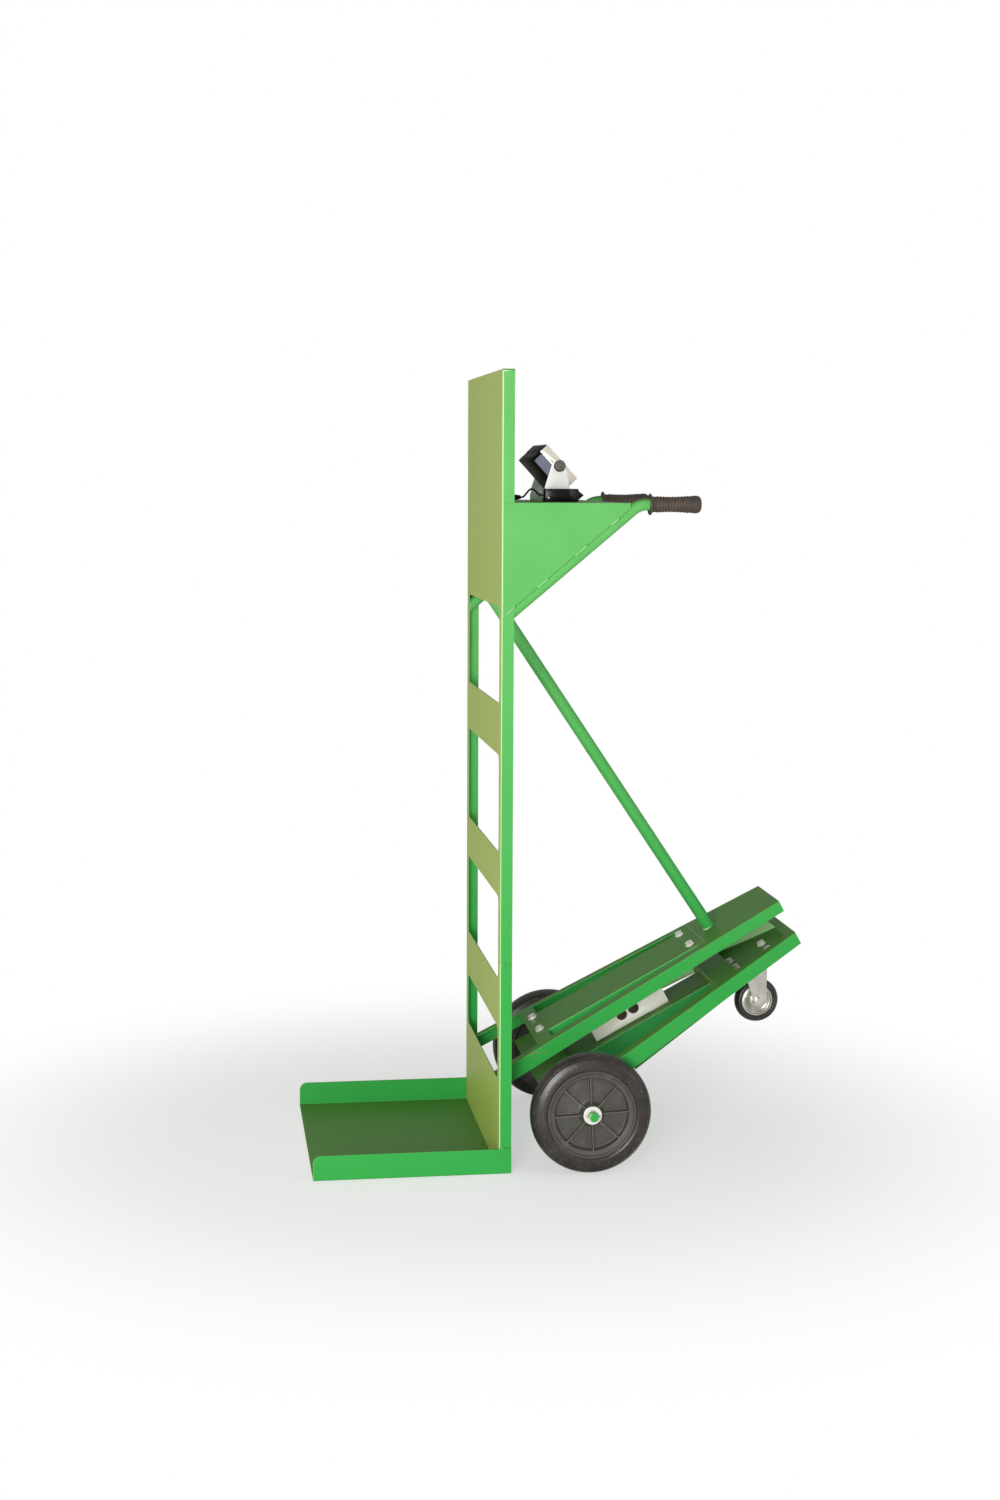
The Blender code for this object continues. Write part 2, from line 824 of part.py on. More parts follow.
def build_upper_boom():
    """Upper boom: tapered folded plate fixed to the back panel and the strut."""
    corners = [
        (upper_front_s, -upper_front_half_width),
        (boom_end, -boom_end_half_width),
        (boom_end, boom_end_half_width),
        (upper_front_s, upper_front_half_width),
    ]
    depths = [upper_flange_front, upper_flange_rear, upper_flange_rear, upper_flange_front]
    mesh = folded_mesh("upper_boom_frame", corners, depths, (0, 2), boom_bend)
    frame = add_object("upper_boom_frame", mesh, green_paint, boom_datum, (0, 0, upper_top))
    add_modifier(frame, "SOLIDIFY", thickness=boom_sheet, offset=-1, use_even_offset=True)
    bays = {
        "upper_front_bay": (upper_front_s - overrun, upper_bay_rear_s),
        "upper_main_bay": (channel_start_s, channel_end_s),
    }
    cut(frame, panel_trim)
    for name, (start, end) in bays.items():
        points = bay_outline(start, end, upper_half_width, rail_width)
        tool = add_object(name, outline_mesh(name, points, 4 * boom_sheet, "Z"),
                          parent=boom_datum, location=(0, 0, upper_top))
        cut(frame, tool)
    half = channel_half_width
    start = channel_start_s + gap
    end = channel_end_s - gap
    corners = [(start, -half), (end, -half), (end, half), (start, half)]
    mesh = folded_mesh("upper_boom_channel", corners, [channel_depth] * 4, (0, 2), boom_bend)
    channel = add_object("upper_boom_channel", mesh, green_paint, boom_datum, (0, 0, upper_top))
    add_modifier(channel, "SOLIDIFY", thickness=boom_sheet, offset=-1, use_even_offset=True)
    ledge_top = upper_top - boom_sheet - gap
    under = ledge_top - ledge_sheet
    tongue = step_block("front_tongue", channel_start_s, under, ledge_top)
    join(channel, *tongue)
    join(frame, *step_block("rear_ledge", channel_end_s, under, ledge_top))
    holes = []
    places = (channel_start_s - channel_bolt_inset, channel_end_s - channel_bolt_inset)
    for row, bolt_s in enumerate(places):
        for column, side in enumerate((-1, 1)):
            centre = (bolt_s, side * channel_bolt_y)
            name = f"channel_bolt_{2 * row + column + 1}"
            add_object(name, bolt_mesh(name, upper_top, under, centre), zinc_plate, boom_datum)
            holes.append(hole_mesh(centre, under - overrun, upper_top + overrun))
    drill = add_object("channel_bolt_holes", merged_mesh("channel_bolt_holes", holes),
                       parent=boom_datum)
    cut(channel, drill)
    cut(frame, drill)


def step_block(name, edge_s, under, ledge_top):
    """Ledge across a joint: its own half is fused to its carrier, the other half passes under."""
    own_low = edge_s + 2 * gap
    own_high = edge_s + ledge_length / 2
    far_low = edge_s - ledge_length / 2
    fuse_top = ledge_top + gap + boom_sheet / 2
    y = ledge_half_width
    below = brick_mesh(name, (far_low, -y, under), (own_high, y, ledge_top))
    fused = brick_mesh(f"{name}_root", (own_low + boom_sheet, -y, under + ledge_sheet / 2),
                       (own_high - boom_sheet, y, fuse_top))
    return [add_object(name, below, parent=boom_datum),
            add_object(f"{name}_root", fused, parent=boom_datum)]


def hole_mesh(centre, low, high, radius=None):
    """Round hole cutter along Z."""
    x, y = centre
    reach = bolt_radius + hole_clearance if radius is None else radius
    return bar_mesh("hole", (x, y, low), (x, y, high), reach, 12)


def build_load_cell():
    """Single-point load cell with its two spacers; the lower spacer holds its four screws."""
    top = cell_bottom + cell_side
    middle_s = cell_start_s + cell_length / 2
    mesh = brick_mesh(
        "load_cell",
        (cell_start_s, -cell_side / 2, cell_bottom),
        (cell_start_s + cell_length, cell_side / 2, top),
    )
    cell = add_object("load_cell", mesh, cell_aluminium, boom_datum)
    middle_t = cell_bottom + cell_side / 2
    tools = []
    for index, (side, level) in enumerate(((-1, -1), (1, -1), (1, 1), (-1, 1))):
        s = middle_s + side * cell_lobe_s
        t = middle_t + level * cell_lobe_t
        name = f"cell_lobe_{index}"
        mesh = bar_mesh(name, (s, -cell_side, t), (s, cell_side, t), cell_lobe_radius, 12)
        tools.append(add_object(name, mesh, parent=boom_datum))
    cut(cell, *tools)
    lower_mid = cell_start_s + cell_length - spacer_length / 2
    upper_mid = cell_start_s + spacer_length / 2
    blocks = {
        "load_cell_lower_spacer": (lower_mid, strip_top + gap, cell_bottom - gap),
        "load_cell_upper_spacer": (upper_mid, top + gap, upper_top - boom_sheet - gap),
    }
    for name, (mid, low, high) in blocks.items():
        mesh = brick_mesh(name, (mid - spacer_length / 2, -spacer_half_width, low),
                          (mid + spacer_length / 2, spacer_half_width, high))
        add_object(name, mesh, zinc_plate, boom_datum)
    under = strip_top - boom_sheet
    bolts = []
    holes = []
    for s_side in (-1, 1):
        for y_side in (-1, 1):
            centre = (lower_mid + s_side * cell_bolt_s, y_side * cell_bolt_y)
            shank = [
                (0, cell_bottom + cell_bolt_depth),
                (bolt_radius, cell_bottom + cell_bolt_depth),
                (bolt_radius, under - gap),
                (bolt_head_radius, under - gap),
                (bolt_head_radius, under - bolt_head_height),
                (0, under - bolt_head_height),
            ]
            mesh = turned_mesh("cell_bolt", shank, 10, closed=False)
            mesh.transform(Matrix.Translation((*centre, 0)))
            bolts.append(mesh)
            holes.append(hole_mesh(centre, under - overrun, cell_bottom + cell_bolt_depth + gap))
    studs = add_object("load_cell_studs", merged_mesh("load_cell_studs", bolts),
                       parent=boom_datum)
    join(bpy.data.objects["load_cell_lower_spacer"], studs)
    drill = add_object("cell_bolt_holes", merged_mesh("cell_bolt_holes", holes),
                       parent=boom_datum)
    cut(cell, drill)
    return drill


def build_lower_boom(cell_drill):
    """Lower boom: chassis plate that carries the axle, the load cell and the caster."""
    stations = [(lower_front_s, lower_flange_front), (knee_s, lower_flange_knee),
                (boom_end, lower_flange_rear)]
    near = [(s, -lower_half_width(s)) for s, depth in stations]
    far = [(s, lower_half_width(s)) for s, depth in reversed(stations)]
    depths = [depth for s, depth in stations] + [depth for s, depth in reversed(stations)]
    mesh = folded_mesh("lower_boom_frame", near + far, depths, (0, 1, 3, 4), boom_bend)
    frame = add_object("lower_boom_frame", mesh, green_paint, boom_datum, (0, 0, lower_top))
    add_modifier(frame, "SOLIDIFY", thickness=boom_sheet, offset=-1, use_even_offset=True)
    bays = {
        "lower_main_bay": (lower_bay_front_s, lower_bay_rear_s),
        "caster_bay": (caster_bay_front_s, caster_bay_rear_s),
    }
    for name, (start, end) in bays.items():
        points = bay_outline(start, end, lower_half_width, rail_width)
        points = rounded_outline(points, [bay_corner] * len(points), 3)
        tool = add_object(name, outline_mesh(name, points, 4 * boom_sheet, "Z"),
                          parent=boom_datum, location=(0, 0, lower_top))
        cut(frame, tool)
    join(frame, axle_bosses())
    axle_hole = add_object("axle_hole", axle_bar("axle_hole", axle_radius + gap, overrun))
    cut(frame, axle_hole)
    half = strip_half_width
    start = lower_bay_front_s + boom_sheet / 2
    end = lower_bay_rear_s - boom_sheet / 2
    corners = [(start, -half), (end, -half), (end, half), (start, half)]
    mesh = folded_mesh("lower_boom_channel", corners, [strip_depth] * 4, (0, 2), boom_bend)
    strip = add_object("lower_boom_channel", mesh, green_paint, boom_datum, (0, 0, strip_top))
    add_modifier(strip, "SOLIDIFY", thickness=boom_sheet, offset=-1, use_even_offset=True)
    window_start = cell_start_s + spacer_length / 2
    window_end = cell_start_s + cell_length - spacer_length - overrun
    corners = [(window_start, -strip_window_half_width), (window_end, -strip_window_half_width),
               (window_end, strip_window_half_width), (window_start, strip_window_half_width)]
    points = rounded_outline(corners, [bay_corner] * 4, 3)
    tool = add_object("strip_window", outline_mesh("strip_window", points, 4 * boom_sheet, "Z"),
                      parent=boom_datum, location=(0, 0, strip_top))
    cut(strip, tool, cell_drill)
    join_bulkheads(strip)
    build_mount_plate()


def join_bulkheads(strip):
    """Upright end walls under the main bay's ends, welded to the recessed channel."""
    top = lower_top - boom_sheet - gap
    low = top - bulkhead_drop
    tools = []
    holes = []
    for word, s, reach in (("front", lower_bay_front_s, -1), ("rear", lower_bay_rear_s, 1)):
        half = lower_half_width(s) - rail_width - bay_corner
        middle = s - reach * boom_sheet / 2
        corners = [(-half, low), (half, low), (half, top), (-half, top)]
        points = rounded_outline(corners, [bay_corner] * 4, 3)
        name = f"bulkhead_{word}"
        tools.append(add_object(name, outline_mesh(name, points, boom_sheet, "X", middle),
                                parent=boom_datum))
        for side in (-1, 1):
            centre = side * (strip_half_width + bulkhead_hole)
            holes.append(brick_mesh(
                "bulkhead_hole",
                (middle - 2 * boom_sheet, centre - bulkhead_hole / 2,
                 top - bulkhead_hole - bay_corner),
                (middle + 2 * boom_sheet, centre + bulkhead_hole / 2, top - bay_corner),
            ))
    join(strip, *tools)
    drill = add_object("bulkhead_holes", merged_mesh("bulkhead_holes", holes),
                       parent=boom_datum)
    cut(strip, drill)


def caster_bolt_centres():
    """Centres of the four caster bolts in the boom frame."""
    return [
        (swivel_s + s_side * caster_bolt_s, y_side * caster_bolt_y)
        for s_side in (-1, 1)
        for y_side in (-1, 1)
    ]


def build_mount_plate():
    """Sunk plate between the lower boom's flanges that the caster bolts to."""
    stations = (caster_bay_front_s - rail_width, boom_end - 2 * boom_sheet)
    inset = boom_sheet + 2 * gap
    near = [(s, -(lower_half_width(s) - inset)) for s in stations]
    far = [(s, lower_half_width(s) - inset) for s in reversed(stations)]
    middle = mount_plate_top - mount_plate_sheet / 2
    mesh = outline_mesh("caster_mount_plate", near + far, mount_plate_sheet, "Z", middle)
    plate = add_object("caster_mount_plate", mesh, green_paint, boom_datum)
    drill = caster_drill()
    cut(plate, drill)


def caster_drill():
    """Bolt hole cutter shared by the mount plate and the caster's top plate."""
    name = "caster_bolt_holes"
    if name in bpy.data.objects:
        return bpy.data.objects[name]
    low = mount_plate_top - mount_plate_sheet - caster_plate_sheet - overrun
    holes = [hole_mesh(centre, low, mount_plate_top + overrun)
             for centre in caster_bolt_centres()]
    return add_object(name, merged_mesh(name, holes), parent=boom_datum)


def build_caster():
    """Swivel caster under the lower boom."""
    top = mount_plate_top - mount_plate_sheet - gap
    plate_bottom = top - caster_plate_sheet
    corners = [
        (swivel_s - caster_plate_half_length, -caster_plate_half_width),
        (swivel_s + caster_plate_half_length, -caster_plate_half_width),
        (swivel_s + caster_plate_half_length, caster_plate_half_width),
        (swivel_s - caster_plate_half_length, caster_plate_half_width),
    ]
    points = rounded_outline(corners, [bay_corner] * 4, 3)
    mesh = outline_mesh("caster_top_plate", points, caster_plate_sheet, "Z",
                        top - caster_plate_sheet / 2)
    plate = add_object("caster_top_plate", mesh, zinc_plate, boom_datum)
    cut(plate, caster_drill())
    for index, centre in enumerate(caster_bolt_centres()):
        name = f"caster_bolt_{index + 1}"
        mesh = bolt_mesh(name, mount_plate_top, plate_bottom, centre)
        add_object(name, mesh, zinc_plate, boom_datum)

    swivel = make_empty("caster_swivel_axis", (swivel_s, 0, plate_bottom), parent=boom_datum)
    race_top = -gap
    race_low = race_top - race_height
    profile = [
        (race_bore, race_top),
        (race_radius - race_height / 2, race_top),
        (race_radius, race_top - race_height / 2),
        (race_radius - race_height / 3, race_low),
        (race_bore, race_low),
    ]
    add_object("caster_swivel_race", turned_mesh("caster_swivel_race", profile, 24), zinc_plate,
               swivel)
    crown_top = race_low - gap
    wheel_t = caster_axle_t - plate_bottom
    build_fork(swivel, crown_top, wheel_t)
    wheel = make_empty("caster_wheel_axis", (-caster_trail, 0, wheel_t),
                       (math.pi / 2, 0, 0), swivel)
    build_caster_wheel(wheel, swivel, wheel_t)


def build_fork(swivel, crown_top, wheel_t):
    """Pressed fork: a crown with two legs that taper to the axle."""
    outer = fork_inner + fork_sheet
    corners = [(-crown_half_length, -outer), (crown_half_length, -outer),
               (crown_half_length, outer), (-crown_half_length, outer)]
    points = rounded_outline(corners, [bay_corner] * 4, 3)
    crown = add_object(
        "caster_fork",
        outline_mesh("caster_fork", points, crown_sheet, "Z", crown_top - crown_sheet / 2),
        zinc_plate, swivel)
    foot = fork_foot_radius
    foot_round = foot * fork_foot_round_share
    leg_top = crown_top - crown_sheet / 2
    leg = [
        (-caster_trail - foot, wheel_t - foot),
        (-caster_trail + foot, wheel_t - foot),
        (crown_half_length - bay_corner, leg_top - crown_half_length / 2),
        (crown_half_length - bay_corner, leg_top),
        (-crown_half_length + bay_corner, leg_top),
    ]
    points = rounded_outline(leg, [foot_round, foot_round, bay_corner, 0, 0], 4)
    legs = []
    for side, word in ((-1, "left"), (1, "right")):
        name = f"fork_leg_{word}"
        mesh = outline_mesh(name, points, fork_sheet, "Y", side * (fork_inner + fork_sheet / 2))
        legs.append(add_object(name, mesh, parent=swivel))
    join(crown, *legs)
    pin = add_object(
        "fork_axle_hole",
        bar_mesh("fork_axle_hole", (-caster_trail, -2 * outer, wheel_t),
                 (-caster_trail, 2 * outer, wheel_t), caster_axle_radius + gap, 16),
        parent=swivel)
    cut(crown, pin)


def build_caster_wheel(wheel, swivel, wheel_t):
    """Caster tyre, hub, dust covers and the axle bolt."""
    bore = caster_hub_radius + gap
    half = caster_tyre_half_width
    shoulder = half / 3
    radius = caster_tyre_radius
    profile = [
        (bore, half - shoulder / 2),
        (bore + shoulder, half),
        (radius - shoulder, half - shoulder / 2),
        (radius - shoulder / 4, half - 2 * shoulder),
        (radius, 0),
        (radius - shoulder / 4, -(half - 2 * shoulder)),
        (radius - shoulder, -(half - shoulder / 2)),
        (bore + shoulder, -half),
        (bore, -(half - shoulder / 2)),
    ]
    add_object("caster_tyre", turned_mesh("caster_tyre", profile, 24), tyre_rubber, wheel)
    hub_bore = caster_axle_radius + gap
    hub_half = fork_inner - 2 * gap
    web = half / 4
    cover_out = half - shoulder / 2
    cover_in = half - shoulder
    side = [
        (hub_bore, hub_half),
        (2 * hub_bore, hub_half),
        (2 * hub_bore, web),
        (dust_cover_radius / 2, web),
        (dust_cover_radius - shoulder, cover_out - shoulder / 2),
        (dust_cover_radius - shoulder / 2, cover_out),
        (dust_cover_radius, cover_in),
        (caster_hub_radius, cover_in),
    ]
    hub = side + [(radius, -height) for radius, height in reversed(side)]
    add_object("caster_hub", turned_mesh("caster_hub", hub, 20), zinc_plate, wheel)
    outer = fork_inner + fork_sheet + gap
    head = caster_axle_head_radius
    bolt = [
        (0, outer + caster_axle_radius),
        (head, outer + caster_axle_radius),
        (head, outer),
        (caster_axle_radius, outer),
        (caster_axle_radius, -outer),
        (head, -outer),
        (head, -outer - caster_axle_radius),
        (0, -outer - caster_axle_radius),
    ]
    mesh = turned_mesh("caster_axle_bolt", bolt, 16, closed=False)
    add_object("caster_axle_bolt", mesh, zinc_plate, swivel,
               (-caster_trail, 0, wheel_t), (math.pi / 2, 0, 0))


def axle_bar(name, radius, extra=0):
    """Bar along the main axle."""
    reach = axle_half_length + extra
    return bar_mesh(name, (wheel_axis_x, -reach, wheel_radius),
                    (wheel_axis_x, reach, wheel_radius), radius)


def main_tyre_profile(seat):
    """Section of the solid rubber tyre, with a groove line on each shoulder."""
    half = tyre_half_width
    radius = wheel_radius
    side = [(seat, half - tyre_bead_round), (seat + 2 * tyre_bead_round, half)]
    for depth_share, width_share in tyre_section_shares:
        side.append((radius - half * depth_share, half * width_share))
    return side + [(r, -z) for r, z in reversed(side)]


def rim_profile(seat):
    """Section of the moulded rim: hub, recessed web and raised ring."""
    half = rim_half_width
    bore = bush_radius + gap
    ring = seat - rim_ring_width
    lead = rim_ring_width / 8
    return [
        (bore, half),
        (hub_radius - lead, half),
        (hub_radius, half - lead),
        (hub_radius, web_outer),
        (ring - lead, web_outer),
        (ring, half - lead),
        (ring + lead, half),
        (seat - lead, half),
        (seat, half - lead),
        (seat, -half + lead),
        (seat - lead, -half),
        (ring + lead, -half),
        (ring, -half + lead),
        (ring - lead, -web_inner),
        (hub_radius, -web_inner),
        (hub_radius, -half + lead),
        (hub_radius - lead, -half),
        (bore, -half),
    ]


def build_wheels():
    """Main wheels, axle and what holds the wheels on it."""
    seat = wheel_radius * rim_share
    tyre = turned_mesh("main_tyre", main_tyre_profile(seat + gap), wheel_steps)
    rim = turned_mesh("main_rim", rim_profile(seat), wheel_steps)
    bush_profile = [
        (axle_radius + gap, rim_half_width),
        (bush_radius, rim_half_width),
        (bush_radius, -rim_half_width),
        (axle_radius + gap, -rim_half_width),
    ]
    bush = turned_mesh("main_bush", bush_profile, 24)
    ring = seat - rim_ring_width
    ribs = []
    for index in range(rib_count):
        angle = math.tau * (index + 1 / 2) / rib_count
        mesh = brick_mesh(
            "rib",
            (hub_radius - rib_thickness, -rib_thickness / 2, web_outer - rib_thickness / 2),
            (ring + rib_thickness / 2, rib_thickness / 2, rib_height),
        )
        mesh.transform(Matrix.Rotation(angle, 4, "Z"))
        ribs.append(mesh)
    rib_set = merged_mesh("rim_ribs", ribs)
    for side, word in ((-1, "left"), (1, "right")):
        turn = (math.pi / 2, 0, 0) if side < 0 else (-math.pi / 2, 0, 0)
        axis = make_empty(f"wheel_axis_{word}",
                          (wheel_axis_x, side * wheel_plane, wheel_radius), turn)
        add_object(f"tyre_{word}", tyre.copy(), tyre_rubber, axis)
        rim_item = add_object(f"rim_{word}", rim.copy(), rim_plastic, axis)
        rib_item = add_object(f"rim_ribs_{word}", rib_set.copy(), parent=axis)
        join(rim_item, rib_item)
        add_object(f"wheel_bush_{word}", bush.copy(), nylon, axis)
    add_object("axle", axle_bar("axle", axle_radius), green_paint)
    pin_holes = []
    place = Matrix.Translation((wheel_axis_x, 0, wheel_radius))
    for side, word in ((-1, "left"), (1, "right")):
        hub_out = wheel_plane + rim_half_width + gap
        turn = Matrix.Rotation(-side * math.pi / 2, 4, "X")
        washer = ring_mesh(hub_out, hub_out + washer_thickness, washer_radius, place @ turn)
        add_object(f"axle_washer_{word}", washer, zinc_plate)
        pin_y = side * (axle_half_length - cotter_setback)
        pin = bar_mesh("pin", (wheel_axis_x - cotter_reach, pin_y, wheel_radius),
                       (wheel_axis_x + cotter_reach, pin_y, wheel_radius), cotter_radius, 8)
        add_object(f"cotter_pin_{word}", pin, zinc_plate)
        pin_holes.append(bar_mesh("pin_hole",
                                  (wheel_axis_x - 2 * cotter_reach, pin_y, wheel_radius),
                                  (wheel_axis_x + 2 * cotter_reach, pin_y, wheel_radius),
                                  cotter_radius + gap, 8))
    drill = add_object("cotter_holes", merged_mesh("cotter_holes", pin_holes))
    cut(bpy.data.objects["axle"], drill)


def axle_bosses():
    """Bosses welded outside the lower boom's flanges, up to the wheel hubs."""
    bosses = []
    place = Matrix.Translation((wheel_axis_x, 0, wheel_radius))
    for side in (-1, 1):
        turn = Matrix.Rotation(-side * math.pi / 2, 4, "X")
        low = knee_half_width - boom_sheet / 2
        high = wheel_plane - rim_half_width - gap
        bosses.append(ring_mesh(low, high, spacer_radius, place @ turn))
    return add_object("axle_bosses", merged_mesh("axle_bosses", bosses))


def ring_mesh(low, high, radius, place):
    """Ring on the axle between two distances along it."""
    bore = axle_radius + gap
    mesh = turned_mesh("ring", [(bore, high), (radius, high), (radius, low), (bore, low)], 24)
    mesh.transform(place)
    return mesh


def housing_points(front, back):
    """Part of the housing's side outline between two depths, in depth and height."""
    def top_at(depth):
        if depth <= top_front:
            return top_level
        share = (depth - top_front) / (face_out - top_front)
        return top_level + share * (face_top - top_level)

    def bottom_at(depth):
        if depth >= bottom_rear:
            share = (depth - bottom_rear) / (face_out - bottom_rear)
            return bottom_level + share * (face_bottom - bottom_level)
        share = (bottom_rear - depth) / (bottom_rear - back_face)
        return bottom_level + share * (rear_bottom - bottom_level)

    breaks_top = [depth for depth in (top_front,) if back < depth < front]
    breaks_bottom = [depth for depth in (bottom_rear,) if back < depth < front]
    upper = [(depth, top_at(depth)) for depth in [back] + breaks_top + [front]]
    lower = [(depth, bottom_at(depth)) for depth in [front] + breaks_bottom + [back]]
    return upper + lower


def build_indicator():
    """Weighing indicator in its bracket on the console shelf."""
    foot_z = shelf_height + gap
    pivot_z = foot_z + pivot_rise
    build_bracket(foot_z, pivot_z)
    tilt = make_empty("indicator_tilt_axis", (indicator_pivot_x, 0, pivot_z),
                      (0, -indicator_face_tilt, 0))
    sections = {
        "indicator_bezel": (face_out, bezel_back + gap, stainless),
        "indicator_housing": (bezel_back, cover_split + gap, grey_plastic),
        "indicator_back_cover": (cover_split, back_face, black_plastic),
    }
    items = {}
    for name, (front, back, material) in sections.items():
        points = housing_points(front, back)
        mesh = outline_mesh(name, points, 2 * indicator_half_width, "Y")
        items[name] = add_object(name, mesh, material, tilt)
        add_modifier(items[name], "BEVEL", width=housing_round / 4, segments=1,
                     limit_method="ANGLE", angle_limit=math.radians(40))
    screw_hole = add_object(
        "knob_screw_hole",
        bar_mesh("knob_screw_hole", (0, -2 * indicator_half_width, 0),
                 (0, 2 * indicator_half_width, 0), knob_screw_radius + gap, 12),
        parent=tilt)
    cut(items["indicator_bezel"], screw_hole)
    build_face(tilt, items["indicator_bezel"])
    build_knobs(tilt)


def face_box(name, centre_y, centre_z, half_y, half_z, back, front):
    """Box on the indicator's face."""
    return brick_mesh(name, (back, centre_y - half_y, centre_z - half_z),
                      (front, centre_y + half_y, centre_z + half_z))


def build_face(tilt, bezel):
    """Display lens and keys let into the bezel."""
    middle = lens_bottom + lens_height / 2
    pocket_back = face_out - lens_sink - lens_thickness
    pocket = add_object(
        "lens_pocket",
        face_box("lens_pocket", 0, middle, lens_half_width, lens_height / 2, pocket_back,
                 face_out + overrun),
        parent=tilt)
    cut(bezel, pocket)
    lens = face_box("display_lens", 0, middle, lens_half_width - gap, lens_height / 2 - gap,
                    pocket_back + gap, face_out - lens_sink)
    add_object("display_lens", lens, display_glass, tilt)
    for index in range(key_count):
        centre = (index - (key_count - 1) / 2) * key_pitch
        name = f"key_{index + 1}"
        pocket_name = f"key_pocket_{index + 1}"
        depth = face_out - key_depth - key_travel - gap
        pocket = add_object(
            pocket_name,
            face_box(pocket_name, centre, key_centre, key_half_width + key_clearance,
                     key_half_height + key_clearance, depth, face_out + overrun),
            parent=tilt)
        cut(bezel, pocket)
        mesh = face_box(name, centre, key_centre, key_half_width, key_half_height,
                        face_out - key_depth, face_out + key_proud)
        key = add_object(name, mesh, key_rubber, tilt)
        add_modifier(key, "BEVEL", width=key_clearance, segments=2, limit_method="ANGLE")


def build_bracket(foot_z, pivot_z):
    """U bracket on the shelf: a raised foot plate with folded edges and an ear at each end."""
    front = indicator_pivot_x + ear_foot_front
    rear = indicator_pivot_x + ear_foot_rear
    shoulder_z = foot_z + ear_shoulder_rise
    outline = [
        (front, foot_z),
        (rear, foot_z),
        (indicator_pivot_x + ear_shoulder_rear, shoulder_z),
        (indicator_pivot_x + ear_head_radius, pivot_z + ear_head_radius),
        (indicator_pivot_x - ear_head_radius, pivot_z + ear_head_radius),
        (indicator_pivot_x + ear_shoulder_front, shoulder_z),
    ]
    ear_round = ear_head_radius * ear_round_share
    radii = [0, 0, ear_shoulder_round, ear_round, ear_round, ear_shoulder_round]
    points = rounded_outline(outline, radii, 4)
    foot_top = foot_z + foot_rise
    plate = brick_mesh("indicator_bracket", (front, -ear_plane, foot_top - ear_sheet),
                       (rear, ear_plane, foot_top))
    bracket = add_object("indicator_bracket", plate, stainless)
    for name, low, high in (("foot_front", front, front + ear_sheet),
                            ("foot_rear", rear - ear_sheet, rear)):
        mesh = brick_mesh(name, (low, -ear_plane, foot_z), (high, ear_plane, foot_top))
        join(bracket, add_object(name, mesh))
    for side, word in ((-1, "left"), (1, "right")):
        name = f"bracket_ear_{word}"
        mesh = outline_mesh(name, points, ear_sheet, "Y", side * ear_plane)
        join(bracket, add_object(name, mesh))
    hole = add_object(
        "bracket_hole",
        bar_mesh("bracket_hole", (indicator_pivot_x, -2 * ear_plane, pivot_z),
                 (indicator_pivot_x, 2 * ear_plane, pivot_z), knob_screw_radius + gap, 12))
    cut(bracket, hole)


def build_knobs(tilt):
    """Clamping knobs with their screws through the bracket ears."""
    for side, word in ((-1, "left"), (1, "right")):
        inner = ear_plane + ear_sheet / 2 + gap
        screw_in = indicator_half_width - knob_depth
        lead = knob_depth / 5
        profile = [
            (0, inner + knob_depth),
            (knob_radius - lead, inner + knob_depth),
            (knob_radius, inner + knob_depth - lead),
            (knob_radius, inner + lead),
            (knob_radius - lead, inner),
            (knob_screw_radius, inner),
            (knob_screw_radius, screw_in),
            (0, screw_in),
        ]
        name = f"knob_{word}"
        mesh = turned_mesh(name, profile, 18, closed=False)
        mesh.transform(Matrix.Rotation(-side * math.pi / 2, 4, "X"))
        knob = add_object(name, mesh, black_plastic, tilt)
        flutes = []
        for index in range(knob_lobes):
            angle = math.tau * index / knob_lobes
            reach = knob_radius + knob_flute / 2
            x = reach * math.cos(angle)
            z = reach * math.sin(angle)
            flutes.append(bar_mesh("flute", (x, side * (inner - overrun / 5), z),
                                   (x, side * (inner + knob_depth + overrun), z),
                                   knob_flute, 8))
        flute_name = f"knob_flutes_{word}"
        cut(knob, add_object(flute_name, merged_mesh(flute_name, flutes), parent=tilt))


def build_cable_corner():
    """Gland on the back panel, cable box beside the bracket and the lead between them."""
    floor = shelf_height + gap
    corners = [
        (box_front, box_near),
        (box_rear - box_chamfer, box_near),
        (box_rear, box_near + box_chamfer / 2),
        (box_rear, box_far),
        (box_front, box_far),
    ]
    points = rounded_outline(corners, [box_round] * len(corners), 2)
    mesh = outline_mesh("cable_box", points, box_height, "Z", floor + box_height / 2)
    box = add_object("cable_box", mesh, black_plastic)
    nose = [
        (box_rear - box_round, floor),
        (box_rear + box_nose, floor + box_height / 2),
        (box_rear - box_round, floor + box_height),
    ]
    nose_near = box_near + box_chamfer
    nose_far = box_far - box_round
    mesh = outline_mesh("box_nose", nose, nose_far - nose_near, "Y", (nose_near + nose_far) / 2)
    join(box, add_object("box_nose", mesh))
    gland_z = floor + gland_radius
    face = back_sheet + gap
    profile = [
        (0, gland_length),
        (cable_radius * 2, gland_length),
        (gland_cone_radius, gland_cone_start),
        (gland_radius, gland_nut_length),
        (gland_radius, 0),
        (0, 0),
    ]
    mesh = turned_mesh("cable_gland", profile, 16, closed=False)
    mesh.transform(Matrix.Rotation(math.pi / 2, 4, "Y"))
    add_object("cable_gland", mesh, black_plastic, location=(face, gland_y, gland_z))
    start = (face + gland_length + gap, gland_y, gland_z)
    end = (box_front - gap, gland_y, floor + box_height / 2)
    steps = 14
    points = [start]
    run = end[0] - start[0] - 2 * cable_lead
    for step in range(steps + 1):
        share = step / steps
        hump = math.sin(math.pi * share) ** 2
        points.append((
            start[0] + cable_lead + run * share,
            gland_y,
            start[2] + (end[2] - start[2]) * share + cable_rise * hump,
        ))
    points.append(end)
    add_object("indicator_cable", tube_mesh("indicator_cable", points, cable_radius, 2),
               black_plastic)


